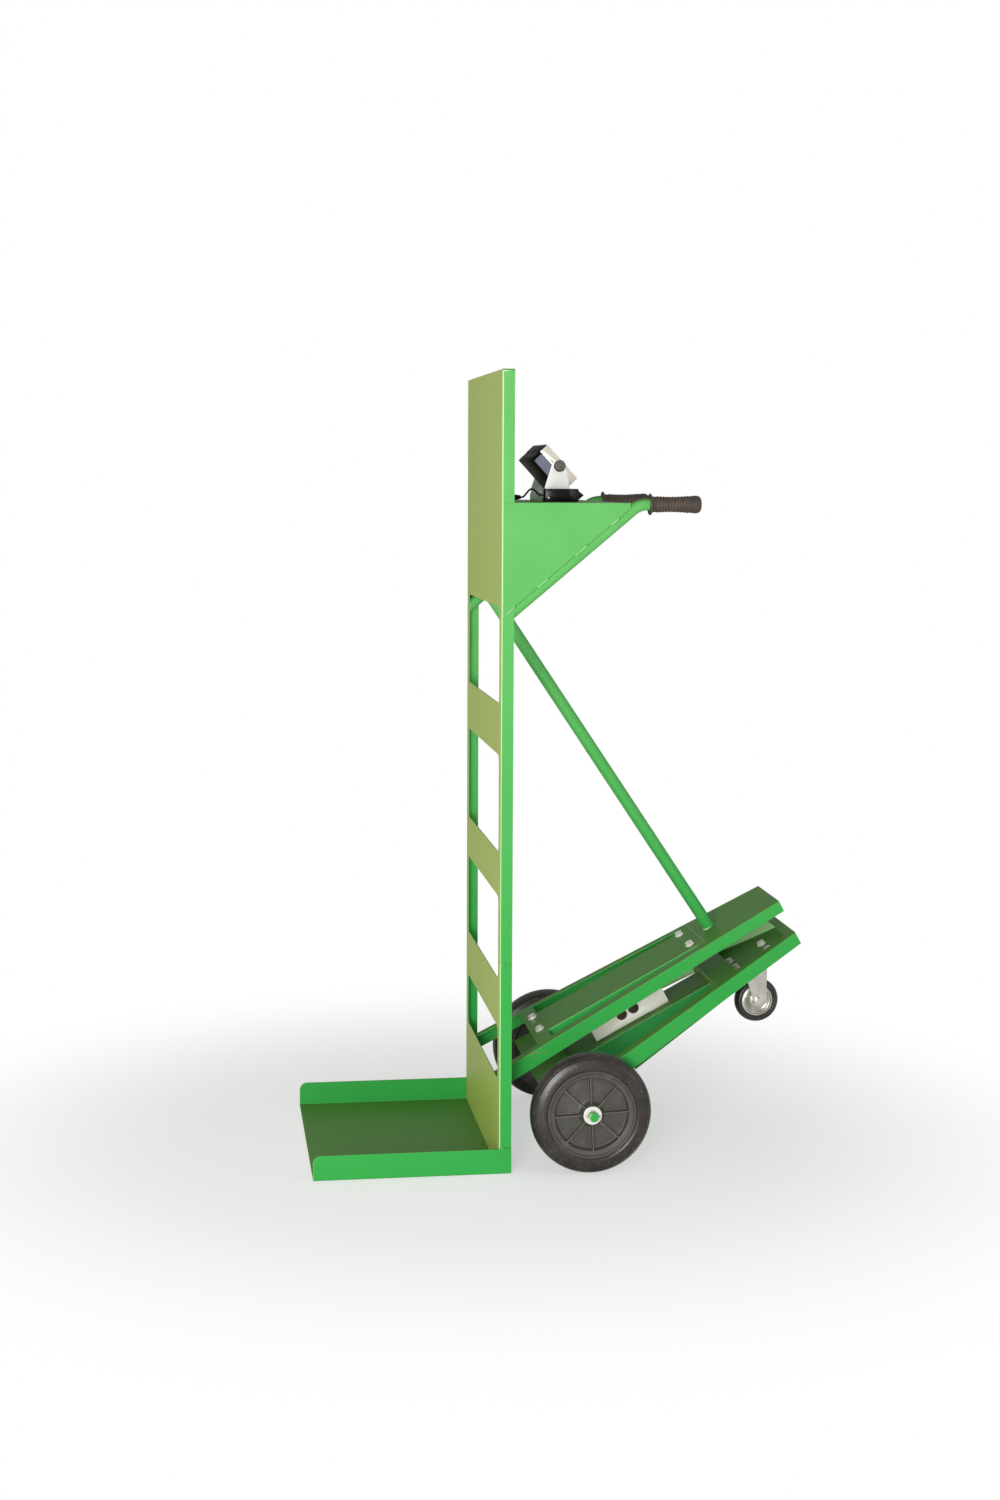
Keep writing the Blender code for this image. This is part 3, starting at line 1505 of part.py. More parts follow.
build_back()
build_tray()
build_console()
build_handles()
build_strut()
build_upper_boom()
cell_bolt_drill = build_load_cell()
build_lower_boom(cell_bolt_drill)
build_caster()
build_wheels()
build_indicator()
build_cable_corner()
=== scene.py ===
"""Dresses a weighing trolley: enamelled sheet, rubber tyres, a swivel caster, a load cell,
hand grips and a weight indicator, each with the finish that the real one has."""

import math

import bmesh
import bpy
from mathutils import Matrix, Vector


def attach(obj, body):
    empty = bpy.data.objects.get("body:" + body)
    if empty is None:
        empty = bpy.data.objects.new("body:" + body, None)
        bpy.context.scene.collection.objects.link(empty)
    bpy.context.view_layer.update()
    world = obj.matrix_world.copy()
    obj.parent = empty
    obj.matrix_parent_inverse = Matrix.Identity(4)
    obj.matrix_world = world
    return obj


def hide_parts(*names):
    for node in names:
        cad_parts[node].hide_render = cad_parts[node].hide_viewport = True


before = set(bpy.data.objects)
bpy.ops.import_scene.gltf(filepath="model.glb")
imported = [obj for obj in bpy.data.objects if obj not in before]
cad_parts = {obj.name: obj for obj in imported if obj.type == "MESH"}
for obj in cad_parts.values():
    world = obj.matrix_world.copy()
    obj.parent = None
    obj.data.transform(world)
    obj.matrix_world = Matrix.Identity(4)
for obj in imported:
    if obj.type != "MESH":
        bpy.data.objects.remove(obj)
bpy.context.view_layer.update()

bl_info = {
    "name": "Weighing trolley dressing",
    "version": (1, 0, 0),
    "blender": (4, 5, 0),
    "location": "View3D > Sidebar > Trolley",
    "description": "Models the turned, moulded and welded pieces of a weighing trolley",
    "category": "Object",
}

mm = 0.001
merge_reach = 0.005 * mm
sides = ((-1, "left"), (1, "right"))

# Places and sizes that several pieces share, in the frame of the solids

panel_top, panel_half, panel_back = 1671 * mm, 278 * mm, 2.3 * mm
wheel_radius, wheel_x, wheel_y = 129 * mm, 193 * mm, 287 * mm
handle_slope = math.radians(40)
handle_y, handle_z, handle_bend_x = 262.9 * mm, 1400 * mm, 286 * mm
boom_tilt = math.radians(28.5)
boom_top = 160.7 * mm
strut_top, strut_foot_s = Vector((2 * mm, 0, 1221 * mm)), 668 * mm


# Sizes and colours that a user would change


class TrolleySizes(bpy.types.PropertyGroup):
    """Sizes of the pieces that are modelled here."""

    turning_steps: bpy.props.IntProperty(
        name="Turning steps", description="Steps round each turned piece", default=96, min=24)
    edge_round: bpy.props.FloatProperty(
        name="Edge round", description="Rounding of cut sheet edges",
        default=0.4 * mm, unit="LENGTH")
    weld_radius: bpy.props.FloatProperty(
        name="Weld bead", description="Radius of a weld bead", default=1.6 * mm, unit="LENGTH")
    weld_pitch: bpy.props.FloatProperty(
        name="Weld ripple", description="Distance between ripples", default=3.2 * mm,
        unit="LENGTH")
    grip_ribs: bpy.props.IntProperty(
        name="Grip ribs", description="Ribs along each hand grip", default=14, min=4)
    rim_ribs: bpy.props.IntProperty(
        name="Rim ribs", description="Ribs on the face of each rim", default=8, min=3)


class TrolleyColours(bpy.types.PropertyGroup):
    """Colours as sRGB hex values."""

    enamel: bpy.props.StringProperty(
        name="Enamel", description="Green enamel", default="2FA043")
    # Laid on by height: the enamel turns paler towards the top.
    enamel_pale: bpy.props.StringProperty(
        name="Pale enamel", description="Enamel higher up, faded by daylight", default="63B45F")
    # Dust and painted shade: this colour is laid on faces that lie level.
    dust_and_shade: bpy.props.StringProperty(
        name="Settled dust", description="Dust on level sheet", default="4F7A2C")
    # Wear and painted light: this colour is laid on the faces turned to -X.
    rubbed_and_lit: bpy.props.StringProperty(
        name="Rubbed front", description="Enamel that the load rubs", default="BACB62")
    rubber: bpy.props.StringProperty(
        name="Rubber", description="Solid tyre rubber", default="231E1A")
    rim: bpy.props.StringProperty(name="Rim", description="Moulded rim", default="45423D")
    zinc: bpy.props.StringProperty(name="Zinc", description="Zinc plating", default="CFCDC6")
    grip: bpy.props.StringProperty(name="Grip", description="Hand grip", default="3A3029")


def sizes():
    return bpy.context.scene.trolley_sizes


def colours():
    return bpy.context.scene.trolley_colours


# Modelling helpers


def deselect_all():
    """Leaves edit mode and clears the selection."""
    if bpy.context.mode != "OBJECT":
        bpy.ops.object.mode_set(mode="OBJECT")
    bpy.ops.object.select_all(action="DESELECT")


def activate(piece):
    """Selects one piece alone."""
    deselect_all()
    piece.select_set(True)
    bpy.context.view_layer.objects.active = piece


def edit(piece, kind="VERT"):
    """Opens one piece in edit mode with all of it selected."""
    activate(piece)
    bpy.ops.object.mode_set(mode="EDIT")
    bpy.ops.mesh.select_mode(type=kind)
    bpy.ops.mesh.select_all(action="SELECT")


def pick(piece, kind, test):
    """Selects the verts, edges or faces that pass the test."""
    bpy.ops.mesh.select_mode(type={"verts": "VERT", "edges": "EDGE", "faces": "FACE"}[kind])
    bpy.ops.mesh.select_all(action="DESELECT")
    bm = bmesh.from_edit_mesh(piece.data)
    for item in getattr(bm, kind):
        item.select_set(bool(test(item)))
    bm.select_flush_mode()
    bmesh.update_edit_mesh(piece.data)


def named(name):
    """Names the object that an operator has just added."""
    piece = bpy.context.object
    piece.name = name
    piece.data.name = name
    return piece


def copied(source, name):
    """Adds a copy of a piece under a name of its own."""
    piece = bpy.data.objects.new(name, source.data.copy())
    bpy.context.scene.collection.objects.link(piece)
    return piece


def put(piece, place):
    """Moves a piece into its place and leaves its object at the origin."""
    activate(piece)
    piece.matrix_world = place
    bpy.ops.object.transform_apply(location=True, rotation=True, scale=True)
    return piece


def close_up(piece, angle=35):
    """Merges doubles, turns the faces outwards and shades by angle."""
    edit(piece)
    bpy.ops.mesh.remove_doubles(threshold=merge_reach)
    bpy.ops.mesh.normals_make_consistent(inside=False)
    activate(piece)
    bpy.ops.object.shade_smooth_by_angle(angle=math.radians(angle))
    return piece


def finish(piece, body, slot, material, *nodes):
    """Gives a piece its material and its body, and hides the nodes that it stands for."""
    piece.data.materials.clear()
    piece.data.materials.append(material)
    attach(piece, body)
    if nodes:
        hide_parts(*nodes)
    return piece


def apply_bevel(piece, width, segments=2, angle=35):
    """Rounds the sharp edges with a modifier and applies it."""
    activate(piece)
    modifier = piece.modifiers.new("round", "BEVEL")
    modifier.width = width
    modifier.segments = segments
    modifier.limit_method = "ANGLE"
    modifier.angle_limit = math.radians(angle)
    bpy.ops.object.modifier_apply(modifier=modifier.name)
    return piece


def fuse(piece, tool, operation="UNION"):
    """Joins or cuts with another piece, which is then removed."""
    activate(piece)
    modifier = piece.modifiers.new("fuse", "BOOLEAN")
    modifier.operation = operation
    modifier.solver = "EXACT"
    modifier.object = tool
    bpy.ops.object.modifier_apply(modifier=modifier.name)
    bpy.data.objects.remove(tool, do_unlink=True)
    return piece


def turned(name, section, steps=None):
    """Turns a closed section of radius and height about Z, as on a lathe."""
    bpy.ops.mesh.primitive_plane_add(size=mm)
    piece = named(name)
    edit(piece)
    bpy.ops.mesh.merge(type="CENTER")
    bpy.ops.transform.translate(value=(section[0][0], 0, section[0][1]))
    for here, there in zip(section, section[1:] + section[:1]):
        step = (there[0] - here[0], 0, there[1] - here[1])
        bpy.ops.mesh.extrude_region_move(TRANSFORM_OT_translate={"value": step})
    bpy.ops.mesh.select_all(action="SELECT")
    bpy.ops.mesh.remove_doubles(threshold=merge_reach)
    bpy.ops.mesh.select_all(action="SELECT")
    bpy.ops.mesh.spin(
        steps=steps or sizes().turning_steps, angle=math.tau, center=(0, 0, 0), axis=(0, 0, 1))
    return close_up(piece)


def rounded(section, radii, steps=4):
    """Rounds the corners of a section by their radii."""
    points = []
    for index, corner in enumerate(section):
        here = Vector(corner)
        radius = radii.get(index, 0)
        if not radius:
            points.append(tuple(here))
            continue
        before = Vector(section[index - 1]) - here
        after = Vector(section[(index + 1) % len(section)]) - here
        most_share = 0.45
        reach = min(radius, before.length * most_share, after.length * most_share)
        start = here + before.normalized() * reach
        end = here + after.normalized() * reach
        for step in range(steps + 1):
            share = step / steps
            along = start.lerp(here, share).lerp(here.lerp(end, share), share)
            points.append(tuple(along))
    return points


def mirrored(half):
    """Section whose lower half mirrors the upper one."""
    return half + [(radius, -height) for radius, height in reversed(half) if height]


def brick(name, low, high, round_by=0, segments=3):
    """Block between two corners with rounded edges."""
    middle = [(a + b) / 2 for a, b in zip(low, high)]
    bpy.ops.mesh.primitive_cube_add(size=1, location=middle)
    piece = named(name)
    piece.scale = [b - a for a, b in zip(low, high)]
    bpy.ops.object.transform_apply(location=True, rotation=True, scale=True)
    if round_by:
        apply_bevel(piece, round_by, segments)
    return piece


def rod(name, start, end, radius, vertices=48, round_by=0):
    """Round bar between two points, with rounded ends."""
    along = Vector(end) - Vector(start)
    bpy.ops.mesh.primitive_cylinder_add(vertices=vertices, radius=radius, depth=along.length)
    piece = named(name)
    if round_by:
        edit(piece, "EDGE")
        slack = 0.01 * mm
        half = along.length / 2 - slack
        pick(piece, "edges", lambda edge: all(abs(v.co.z) > half for v in edge.verts))
        bpy.ops.mesh.bevel(offset=round_by, segments=3, affect="EDGES")
    turn = along.to_track_quat("Z", "Y").to_matrix().to_4x4()
    put(piece, Matrix.Translation((Vector(start) + Vector(end)) / 2) @ turn)
    return close_up(piece)


def trim(piece, point, normal):
    """Cuts a piece at a plane and closes the cut, keeping what lies along the normal."""
    edit(piece)
    bpy.ops.mesh.bisect(
        plane_co=point, plane_no=normal, use_fill=True, clear_inner=True, clear_outer=False)
    return close_up(piece)


def line_piece(name, points, radius, radii=None, resolution=5):
    """Round strand along a line of points, made a mesh."""
    bpy.ops.curve.primitive_nurbs_path_add()
    strand = named(name)
    curve = strand.data
    curve.splines.clear()
    spline = curve.splines.new("POLY")
    spline.points.add(len(points) - 1)
    for index, place in enumerate(points):
        spline.points[index].co = (*place, 1)
        spline.points[index].radius = radii[index] if radii else 1
    curve.dimensions = "3D"
    curve.bevel_depth = radius
    curve.bevel_resolution = resolution
    curve.use_fill_caps = True
    activate(strand)
    bpy.ops.object.convert(target="MESH")
    return close_up(named(name), 60)


def resampled(points, pitch):
    """Points at an even pitch along a line."""
    line = [Vector(point) for point in points]
    lengths = [(b - a).length for a, b in zip(line, line[1:])]
    count = max(3, round(sum(lengths) / pitch))
    found = []
    for step in range(count + 1):
        left = sum(lengths) * step / count
        for index, length in enumerate(lengths):
            if left <= length or index == len(lengths) - 1:
                found.append(line[index].lerp(line[index + 1], min(1, left / length)))
                break
            left -= length
    return found


def weld(name, points, material, radius=None):
    """Rippled bead of weld metal along a line, painted over."""
    size = sizes()
    places = resampled(points, size.weld_pitch / 2)
    crest, wander, wander_step, end_share = 0.16, 0.07, 1.7, 0.4
    ripple = [1.0 + crest * (index % 2) + wander * math.sin(index * wander_step)
              for index in range(len(places))]
    ripple[0] = ripple[-1] = end_share
    bead = line_piece(name, places, radius or size.weld_radius, ripple, 2)
    return finish(bead, "root", "green_paint", material)


def boom_point(s, t, y=0):
    """Place of a point given along and square to the tilted booms."""
    return Vector((
        s * math.cos(boom_tilt) - t * math.sin(boom_tilt),
        y,
        s * math.sin(boom_tilt) + t * math.cos(boom_tilt),
    ))


boom_turn = Matrix.Rotation(-boom_tilt, 4, "Y")


def even_shading(piece):
    """Lets each large face set the normals at its rim, so that flat sheet looks flat."""
    activate(piece)
    modifier = piece.modifiers.new("even", "WEIGHTED_NORMAL")
    modifier.keep_sharp = True
    modifier.weight = 100
    bpy.ops.object.modifier_apply(modifier=modifier.name)


def wheel_place(side, y):
    """Place on the axle for a piece turned about Z, with its top facing outwards."""
    return Matrix.Translation((wheel_x, side * y, wheel_radius)) @ Matrix.Rotation(
        -side * math.pi / 2, 4, "X")


def softened(node, body, slot, material, edge_round=None, segments=2, angle=40):
    """Copy of a node with merged faces, smooth folds and rounded cut edges."""
    piece = copied(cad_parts[node], f"{node}_skin")
    edit(piece)
    bpy.ops.mesh.remove_doubles(threshold=merge_reach)
    bpy.ops.mesh.select_all(action="SELECT")
    bpy.ops.mesh.dissolve_limited(angle_limit=math.radians(0.5))
    activate(piece)
    apply_bevel(piece, edge_round or sizes().edge_round, segments, angle)
    bpy.ops.object.shade_smooth_by_angle(angle=math.radians(angle))
    return finish(piece, body, slot, material, node)


# Finishes


def linear(code):
    """Linear colour from an sRGB hex value."""
    values = [int(code[index:index + 2], 16) / 255 for index in (0, 2, 4)]
    return (*[v / 12.92 if v <= 0.04045 else ((v + 0.055) / 1.055) ** 2.4 for v in values], 1)


def per_metre(millimetres):
    """Texture scale for a feature of a real size."""
    return 1000 / millimetres


def add_node(tree, kind, settings=(), inputs=()):
    """Adds a node. An input is a value that is set or a socket that is linked."""
    node = tree.nodes.new(kind)
    for key, value in dict(settings).items():
        setattr(node, key, value)
    for key, item in dict(inputs).items():
        if isinstance(item, bpy.types.NodeSocket):
            tree.links.new(item, node.inputs[key])
        else:
            node.inputs[key].default_value = item
    return node


def new_finish(name, **values):
    """Material with a Principled shader and Object coordinates to hang patterns on."""
    material = bpy.data.materials.new(name)
    material.use_nodes = True
    tree = material.node_tree
    shader = tree.nodes["Principled BSDF"]
    for key, value in values.items():
        shader.inputs[key.replace("_", " ")].default_value = value
    where = add_node(tree, "ShaderNodeTexCoord").outputs["Object"]
    return material, tree, shader, where


def ramp(tree, value, low, high, top=1.0, bottom=0.0, settings=()):
    """Mask that goes from bottom to top while the value goes from low to high."""
    return add_node(tree, "ShaderNodeMapRange", settings, {
        "Value": value, "From Min": low, "From Max": high, "To Min": bottom, "To Max": top,
    }).outputs["Result"]


def noise(tree, where, feature, detail=3, low=0.35, high=0.65):
    """Noise of a real feature size in millimetres, as a mask from 0 to 1."""
    grain = add_node(tree, "ShaderNodeTexNoise", inputs={
        "Scale": per_metre(feature), "Detail": detail, "Vector": where})
    return ramp(tree, grain.outputs["Fac"], low, high)


def times(tree, mask, factor):
    """Product of a mask and a number or another mask."""
    return add_node(tree, "ShaderNodeMath", {"operation": "MULTIPLY"},
                    {0: mask, 1: factor}).outputs[0]


def over(tree, under, mask, code):
    """Lays a colour by a mask over the one under it, which is a hex value or a socket."""
    if isinstance(under, str):
        under = linear(under)
    return add_node(tree, "ShaderNodeMix", {"data_type": "RGBA"},
                    {0: mask, 6: under, 7: linear(code)}).outputs[2]


def edge_mask(tree, radius, least, most, amount):
    """Mask of the sharp edges, from how far a rounded normal turns from the real one."""
    rounded_normal = add_node(tree, "ShaderNodeBevel", {"samples": 6}, {"Radius": radius})
    real_normal = add_node(tree, "ShaderNodeNewGeometry")
    turn = add_node(tree, "ShaderNodeVectorMath", {"operation": "DOT_PRODUCT"}, {
        0: rounded_normal.outputs["Normal"], 1: real_normal.outputs["Normal"]})
    return ramp(tree, turn.outputs["Value"], least, most, amount)


def coat(tree, shader, colour, height=None, strength=0, depth=0):
    """Connects the colour and, where there is one, a relief of a real depth."""
    tree.links.new(colour, shader.inputs["Base Color"])
    if height is not None:
        relief = add_node(tree, "ShaderNodeBump", inputs={
            "Strength": strength, "Distance": depth, "Height": height})
        tree.links.new(relief.outputs["Normal"], shader.inputs["Normal"])


def green_enamel(name, worn, base=None, folded=True):
    """Alkyd enamel sprayed on sheet steel: a soft gloss with a faint orange peel, paler higher up,
    dull with settled dust and painted shade where it lies level, worn by the load and painted
    light on the faces turned to -X, chipped edges where worn, and painted highlights on other
    edges and folds."""
    tint = colours()
    material, tree, shader, where = new_finish(name, Roughness=0.45, Specular_IOR_Level=0.22)
    place = add_node(tree, "ShaderNodeSeparateXYZ", inputs={"Vector": where}).outputs
    facing = add_node(tree, "ShaderNodeNewGeometry").outputs["Normal"]
    normal = add_node(tree, "ShaderNodeSeparateXYZ", inputs={"Vector": facing}).outputs
    # Paler higher up, laid on by height.
    faded = ramp(tree, place["Z"], 0.35, 1.35)
    colour = over(tree, base or tint.enamel, faded, tint.enamel_pale)
    cloud = noise(tree, where, 90, 4)
    colour = over(tree, colour, times(tree, cloud, 0.16), "2B9440")
    # Painted shade with settled dust: faces that lie level are laid dark olive.
    level_dust_and_shade = ramp(tree, normal["Z"], 0.55, 0.85, 0.85)
    colour = over(tree, colour, level_dust_and_shade, tint.dust_and_shade)
    # Painted light with wear from the load: faces turned to -X are laid pale yellow-green.
    rubbed_and_lit = ramp(tree, normal["X"], -0.8, -0.98, 0.9)
    colour = over(tree, colour, rubbed_and_lit, tint.rubbed_and_lit)
    # Edges: olive chips where the enamel is worn, elsewhere a pale line of painted highlight.
    edge = edge_mask(tree, 1.4 * mm, 0.985, 0.86, 0.75 if worn else 0.5)
    chips_and_edge_highlight = times(tree, edge, noise(tree, where, 14, 5, 0.3, 0.55))
    colour = over(tree, colour, chips_and_edge_highlight, "8A8A52" if worn else "A5D690")
    # Painted highlight on corner folds that face -X and -Y together, and +X and +Y together.
    if folded:
        fold_highlight = ramp(tree, times(tree, normal["X"], normal["Y"]), 0.12, 0.3, 0.85)
        colour = over(tree, colour, fold_highlight, "C8EFB4")
    if worn:
        along_boom = add_node(tree, "ShaderNodeMapping", inputs={
            "Rotation": (0, boom_tilt, 0), "Scale": (0.05, 1, 1), "Vector": where})
        scratch = noise(tree, along_boom.outputs["Vector"], 5, 6, 0.66, 0.7)
        colour = over(tree, colour, times(tree, scratch, 0.6), "9A6A45")
    coat(tree, shader, colour, noise(tree, where, 3.5, 2), 0.12, 0.15 * mm)
    return material


def tyre_rubber():
    """Solid natural rubber, moulded: near black, browned and dusty in soft patches."""
    material, tree, shader, where = new_finish("solid_rubber", Roughness=0.34)
    browned = times(tree, noise(tree, where, 45, 5), 0.65)
    colour = over(tree, colours().rubber, browned, "3A322B")
    dust = times(tree, noise(tree, where, 7, 6, 0.56, 0.7), 0.3)
    colour = over(tree, colour, dust, "6E6455")
    coat(tree, shader, colour, noise(tree, where, 1.6, 4), 0.25, 0.1 * mm)
    return material


def moulded_plastic(name, code, roughness, grain, mottle=0.2, dusty="8A857C", sheen=0.5,
                    edge=None):
    """Injection-moulded plastic: an even satin with a fine spark-eroded grain and, where an edge
    colour is given, edges painted paler as a highlight."""
    material, tree, shader, where = new_finish(
        name, Roughness=roughness, Specular_IOR_Level=sheen)
    colour = over(tree, code, times(tree, noise(tree, where, 25, 4, 0.5, 0.8), mottle), dusty)
    # Painted highlight: the sharp edges are laid paler.
    if edge:
        colour = over(tree, colour, edge_mask(tree, 1.6 * mm, 0.99, 0.85, 0.8), edge)
    coat(tree, shader, colour, noise(tree, where, grain, 2), 0.15, 0.06 * mm)
    return material


def zinc_plating():
    """Bright passivated zinc on pressed steel: pale metal with cloudy spangle."""
    material, tree, shader, where = new_finish("zinc_plating", Metallic=1.0, Roughness=0.34)
    colour = over(tree, colours().zinc, noise(tree, where, 22, 3, 0.4, 0.7), "E6E3DA")
    dull = times(tree, noise(tree, where, 9, 3, 0.58, 0.72), 0.2)
    colour = over(tree, colour, dull, "8C8678")
    coat(tree, shader, colour, noise(tree, where, 1.2, 3), 0.05, 0.03 * mm)
    return material


def drawn_metal(name, code, other, roughness, axis=(1, 1, 1), grit=0.4, metallic=1.0):
    """Metal with a grain drawn one way: fine lines that stretch each highlight.
    The lines are drawn coarser than the real 0.1 mm so that they show."""
    material, tree, shader, where = new_finish(name, Metallic=metallic, Roughness=roughness)
    run = add_node(tree, "ShaderNodeMapping", inputs={"Scale": axis, "Vector": where})
    lines = noise(tree, run.outputs["Vector"], grit, 3)
    coat(tree, shader, over(tree, code, times(tree, lines, 0.5), other), lines, 0.08, 0.02 * mm)
    return material


def display_glass():
    """Clear window over an unlit liquid crystal panel: dark, with a sharp reflection."""
    material, tree, shader, where = new_finish("display_window", Roughness=0.06, IOR=1.49)
    coat(tree, shader, over(tree, "3A4436", times(tree, noise(tree, where, 30, 2), 0.3), "4B5644"))
    return material


finishes = {}


def make_finishes():
    """All finishes, by the names that the pieces use."""
    tint = colours()
    across_y = (1, 0.05, 1)
    finishes.update({
        "enamel": green_enamel("green_enamel", False),
        "worn_enamel": green_enamel("worn_green_enamel", True),
        # Painted shade: a darker copy of the enamel for the channel and rail flanges under the
        # upper boom.
        "shaded_enamel": green_enamel("unfaded_green_enamel", True, "1F7C36"),
        "tube_enamel": green_enamel("tube_green_enamel", False, folded=False),
        "rubber": tyre_rubber(),
        # The rim and grip edge colours are painted highlights.
        "rim": moulded_plastic("glass_filled_nylon", tint.rim, 0.46, 0.9, 0.3, "77736C",
                               edge="8F8A80"),
        "grip": moulded_plastic("moulded_vinyl", tint.grip, 0.6, 0.8, 0.3, "6B5A47",
                                edge="85745F"),
        "black": moulded_plastic("black_abs", "1A110B", 0.42, 0.7, 0.2, "2E2014", 0.03),
        "gloss_black": moulded_plastic("gloss_black_abs", "0D0A08", 0.2, 0.7, 0.1, "2A1E14", 0.3),
        "grey": moulded_plastic("grey_abs", "7F7F99", 0.5, 0.7, 0.15, "9A9AAC", 0.25),
        "key": moulded_plastic("silicone_rubber", "5A5F6C", 0.6, 0.8),
        # A dark brown that paints the shade inside the load cell's cut-out.
        "sealing": moulded_plastic("sealing_compound", "3A2A1E", 0.45, 1.5, 0.3, "5A4636", 0.3),
        "nylon": moulded_plastic("natural_nylon", "CFCBC0", 0.5, 0.8),
        "lamp": moulded_plastic("lamp_lens", "FFFFFA", 0.2, 0.5, 0.02),
        "zinc": zinc_plating(),
        # Painted glints: pale streaks over the dark grain stand in for silver highlights.
        "knob": drawn_metal("dark_chromed_knob", "5E5952", "E8E2D8", 0.14, grit=3, metallic=0.9),
        # Painted glints: a near-white, half-metal copy of the zinc, paler than the plain zinc.
        "bright_zinc": drawn_metal("bright_zinc", "F6F4EE", "D8D4CA", 0.3, metallic=0.45),
        # Painted light: a near-white cream base with little metal, so the aluminium renders as
        # brightly lit.
        "cell": drawn_metal("milled_aluminium", "FBF6EC", "EFE6D8", 0.5, (0.2, 1, 1),
                            metallic=0.15),
        # Painted reflection: a near-white base with little metal stands in for the white
        # surroundings mirrored in the steel.
        "stainless": drawn_metal("brushed_stainless", "FFFEFB", "F6F4EF", 0.4, across_y,
                                 metallic=0.12),
        "bezel": drawn_metal("bright_bezel", "EFE6D8", "F8F4EC", 0.3, across_y, metallic=0.5),
        "display": display_glass(),
    })


# Pieces, one operator for each group


class TROLLEY_OT_sheet(bpy.types.Operator):
    """Skins the folded sheet with smooth folds and rounded cut edges"""

    bl_idname = "trolley.sheet"
    bl_label = "Sheet metal"

    def execute(self, context):
        groups = {
            "enamel": ("back_panel_upper", "back_panel_lower", "toe_tray", "console_side_left",
                       "console_side_right", "console_shelf"),
            "worn_enamel": ("upper_boom_frame", "upper_boom_channel", "lower_boom_frame",
                            "caster_mount_plate"),
            "shaded_enamel": ("lower_boom_channel",),
        }
        skins = {}
        for coat_name, nodes in groups.items():
            for node in nodes:
                skins[node] = softened(node, "root", "green_paint", finishes[coat_name])
        self.round_top_corners(skins["back_panel_upper"])
        self.deepen_channel(skins["lower_boom_channel"])
        self.rail_flanges()
        for piece in skins.values():
            even_shading(piece)
        return {"FINISHED"}

    def round_top_corners(self, panel):
        """Grinds the two top corners of the panel round."""
        radius, spare, front, rear = 6 * mm, 2 * mm, -5 * mm, 40 * mm
        for side, word in sides:
            y, z = side * (panel_half - radius), panel_top - radius
            low, high = sorted((y, side * (panel_half + spare)))
            corner = brick(f"corner_{word}", (front, low, z), (rear, high, panel_top + spare))
            inner = rod("corner_round", (front - spare, y, z), (rear + spare, y, z), radius)
            fuse(corner, inner, "DIFFERENCE")
            fuse(panel, corner, "DIFFERENCE")
        close_up(panel, 40)

    def deepen_channel(self, channel):
        """Draws the channel's side walls down, as deep as they look beside the rail."""
        back = boom_turn.inverted()
        wall_foot, middle_s = 45 * mm, 430 * mm
        for rear, drop in ((False, 27 * mm), (True, 7 * mm)):
            edit(channel)
            pick(channel, "verts", lambda v: (back @ v.co).z < wall_foot - drop * rear
                 and ((back @ v.co).x > middle_s) == rear)
            bpy.ops.transform.translate(value=boom_turn @ Vector((0, 0, -drop)))
        deselect_all()

    def rail_flanges(self):
        """Inner flanges that close the lower boom's rails on the side of the slots."""
        front_s, rear_s, front_y, rear_y = 360 * mm, 606 * mm, 218 * mm, 137.4 * mm
        foot, top, sheet, rise = 30 * mm, 77.2 * mm, 2.5 * mm, 9 * mm
        middle_s, middle_t = (front_s + rear_s) / 2, (foot + top) / 2
        for side, word in sides:
            flange = brick(f"rail_flange_{word}", (front_s, 0, foot), (rear_s, sheet, top))
            edit(flange)
            pick(flange, "verts", lambda v: v.co.x > middle_s and v.co.z < middle_t)
            bpy.ops.transform.translate(value=(0, 0, rise))
            pick(flange, "verts", lambda v: v.co.x > middle_s)
            bpy.ops.transform.translate(value=(0, side * (rear_y - front_y), 0))
            put(flange, boom_turn @ Matrix.Translation((0, side * front_y, 0)))
            finish(close_up(flange), "root", "green_paint", finishes["shaded_enamel"])


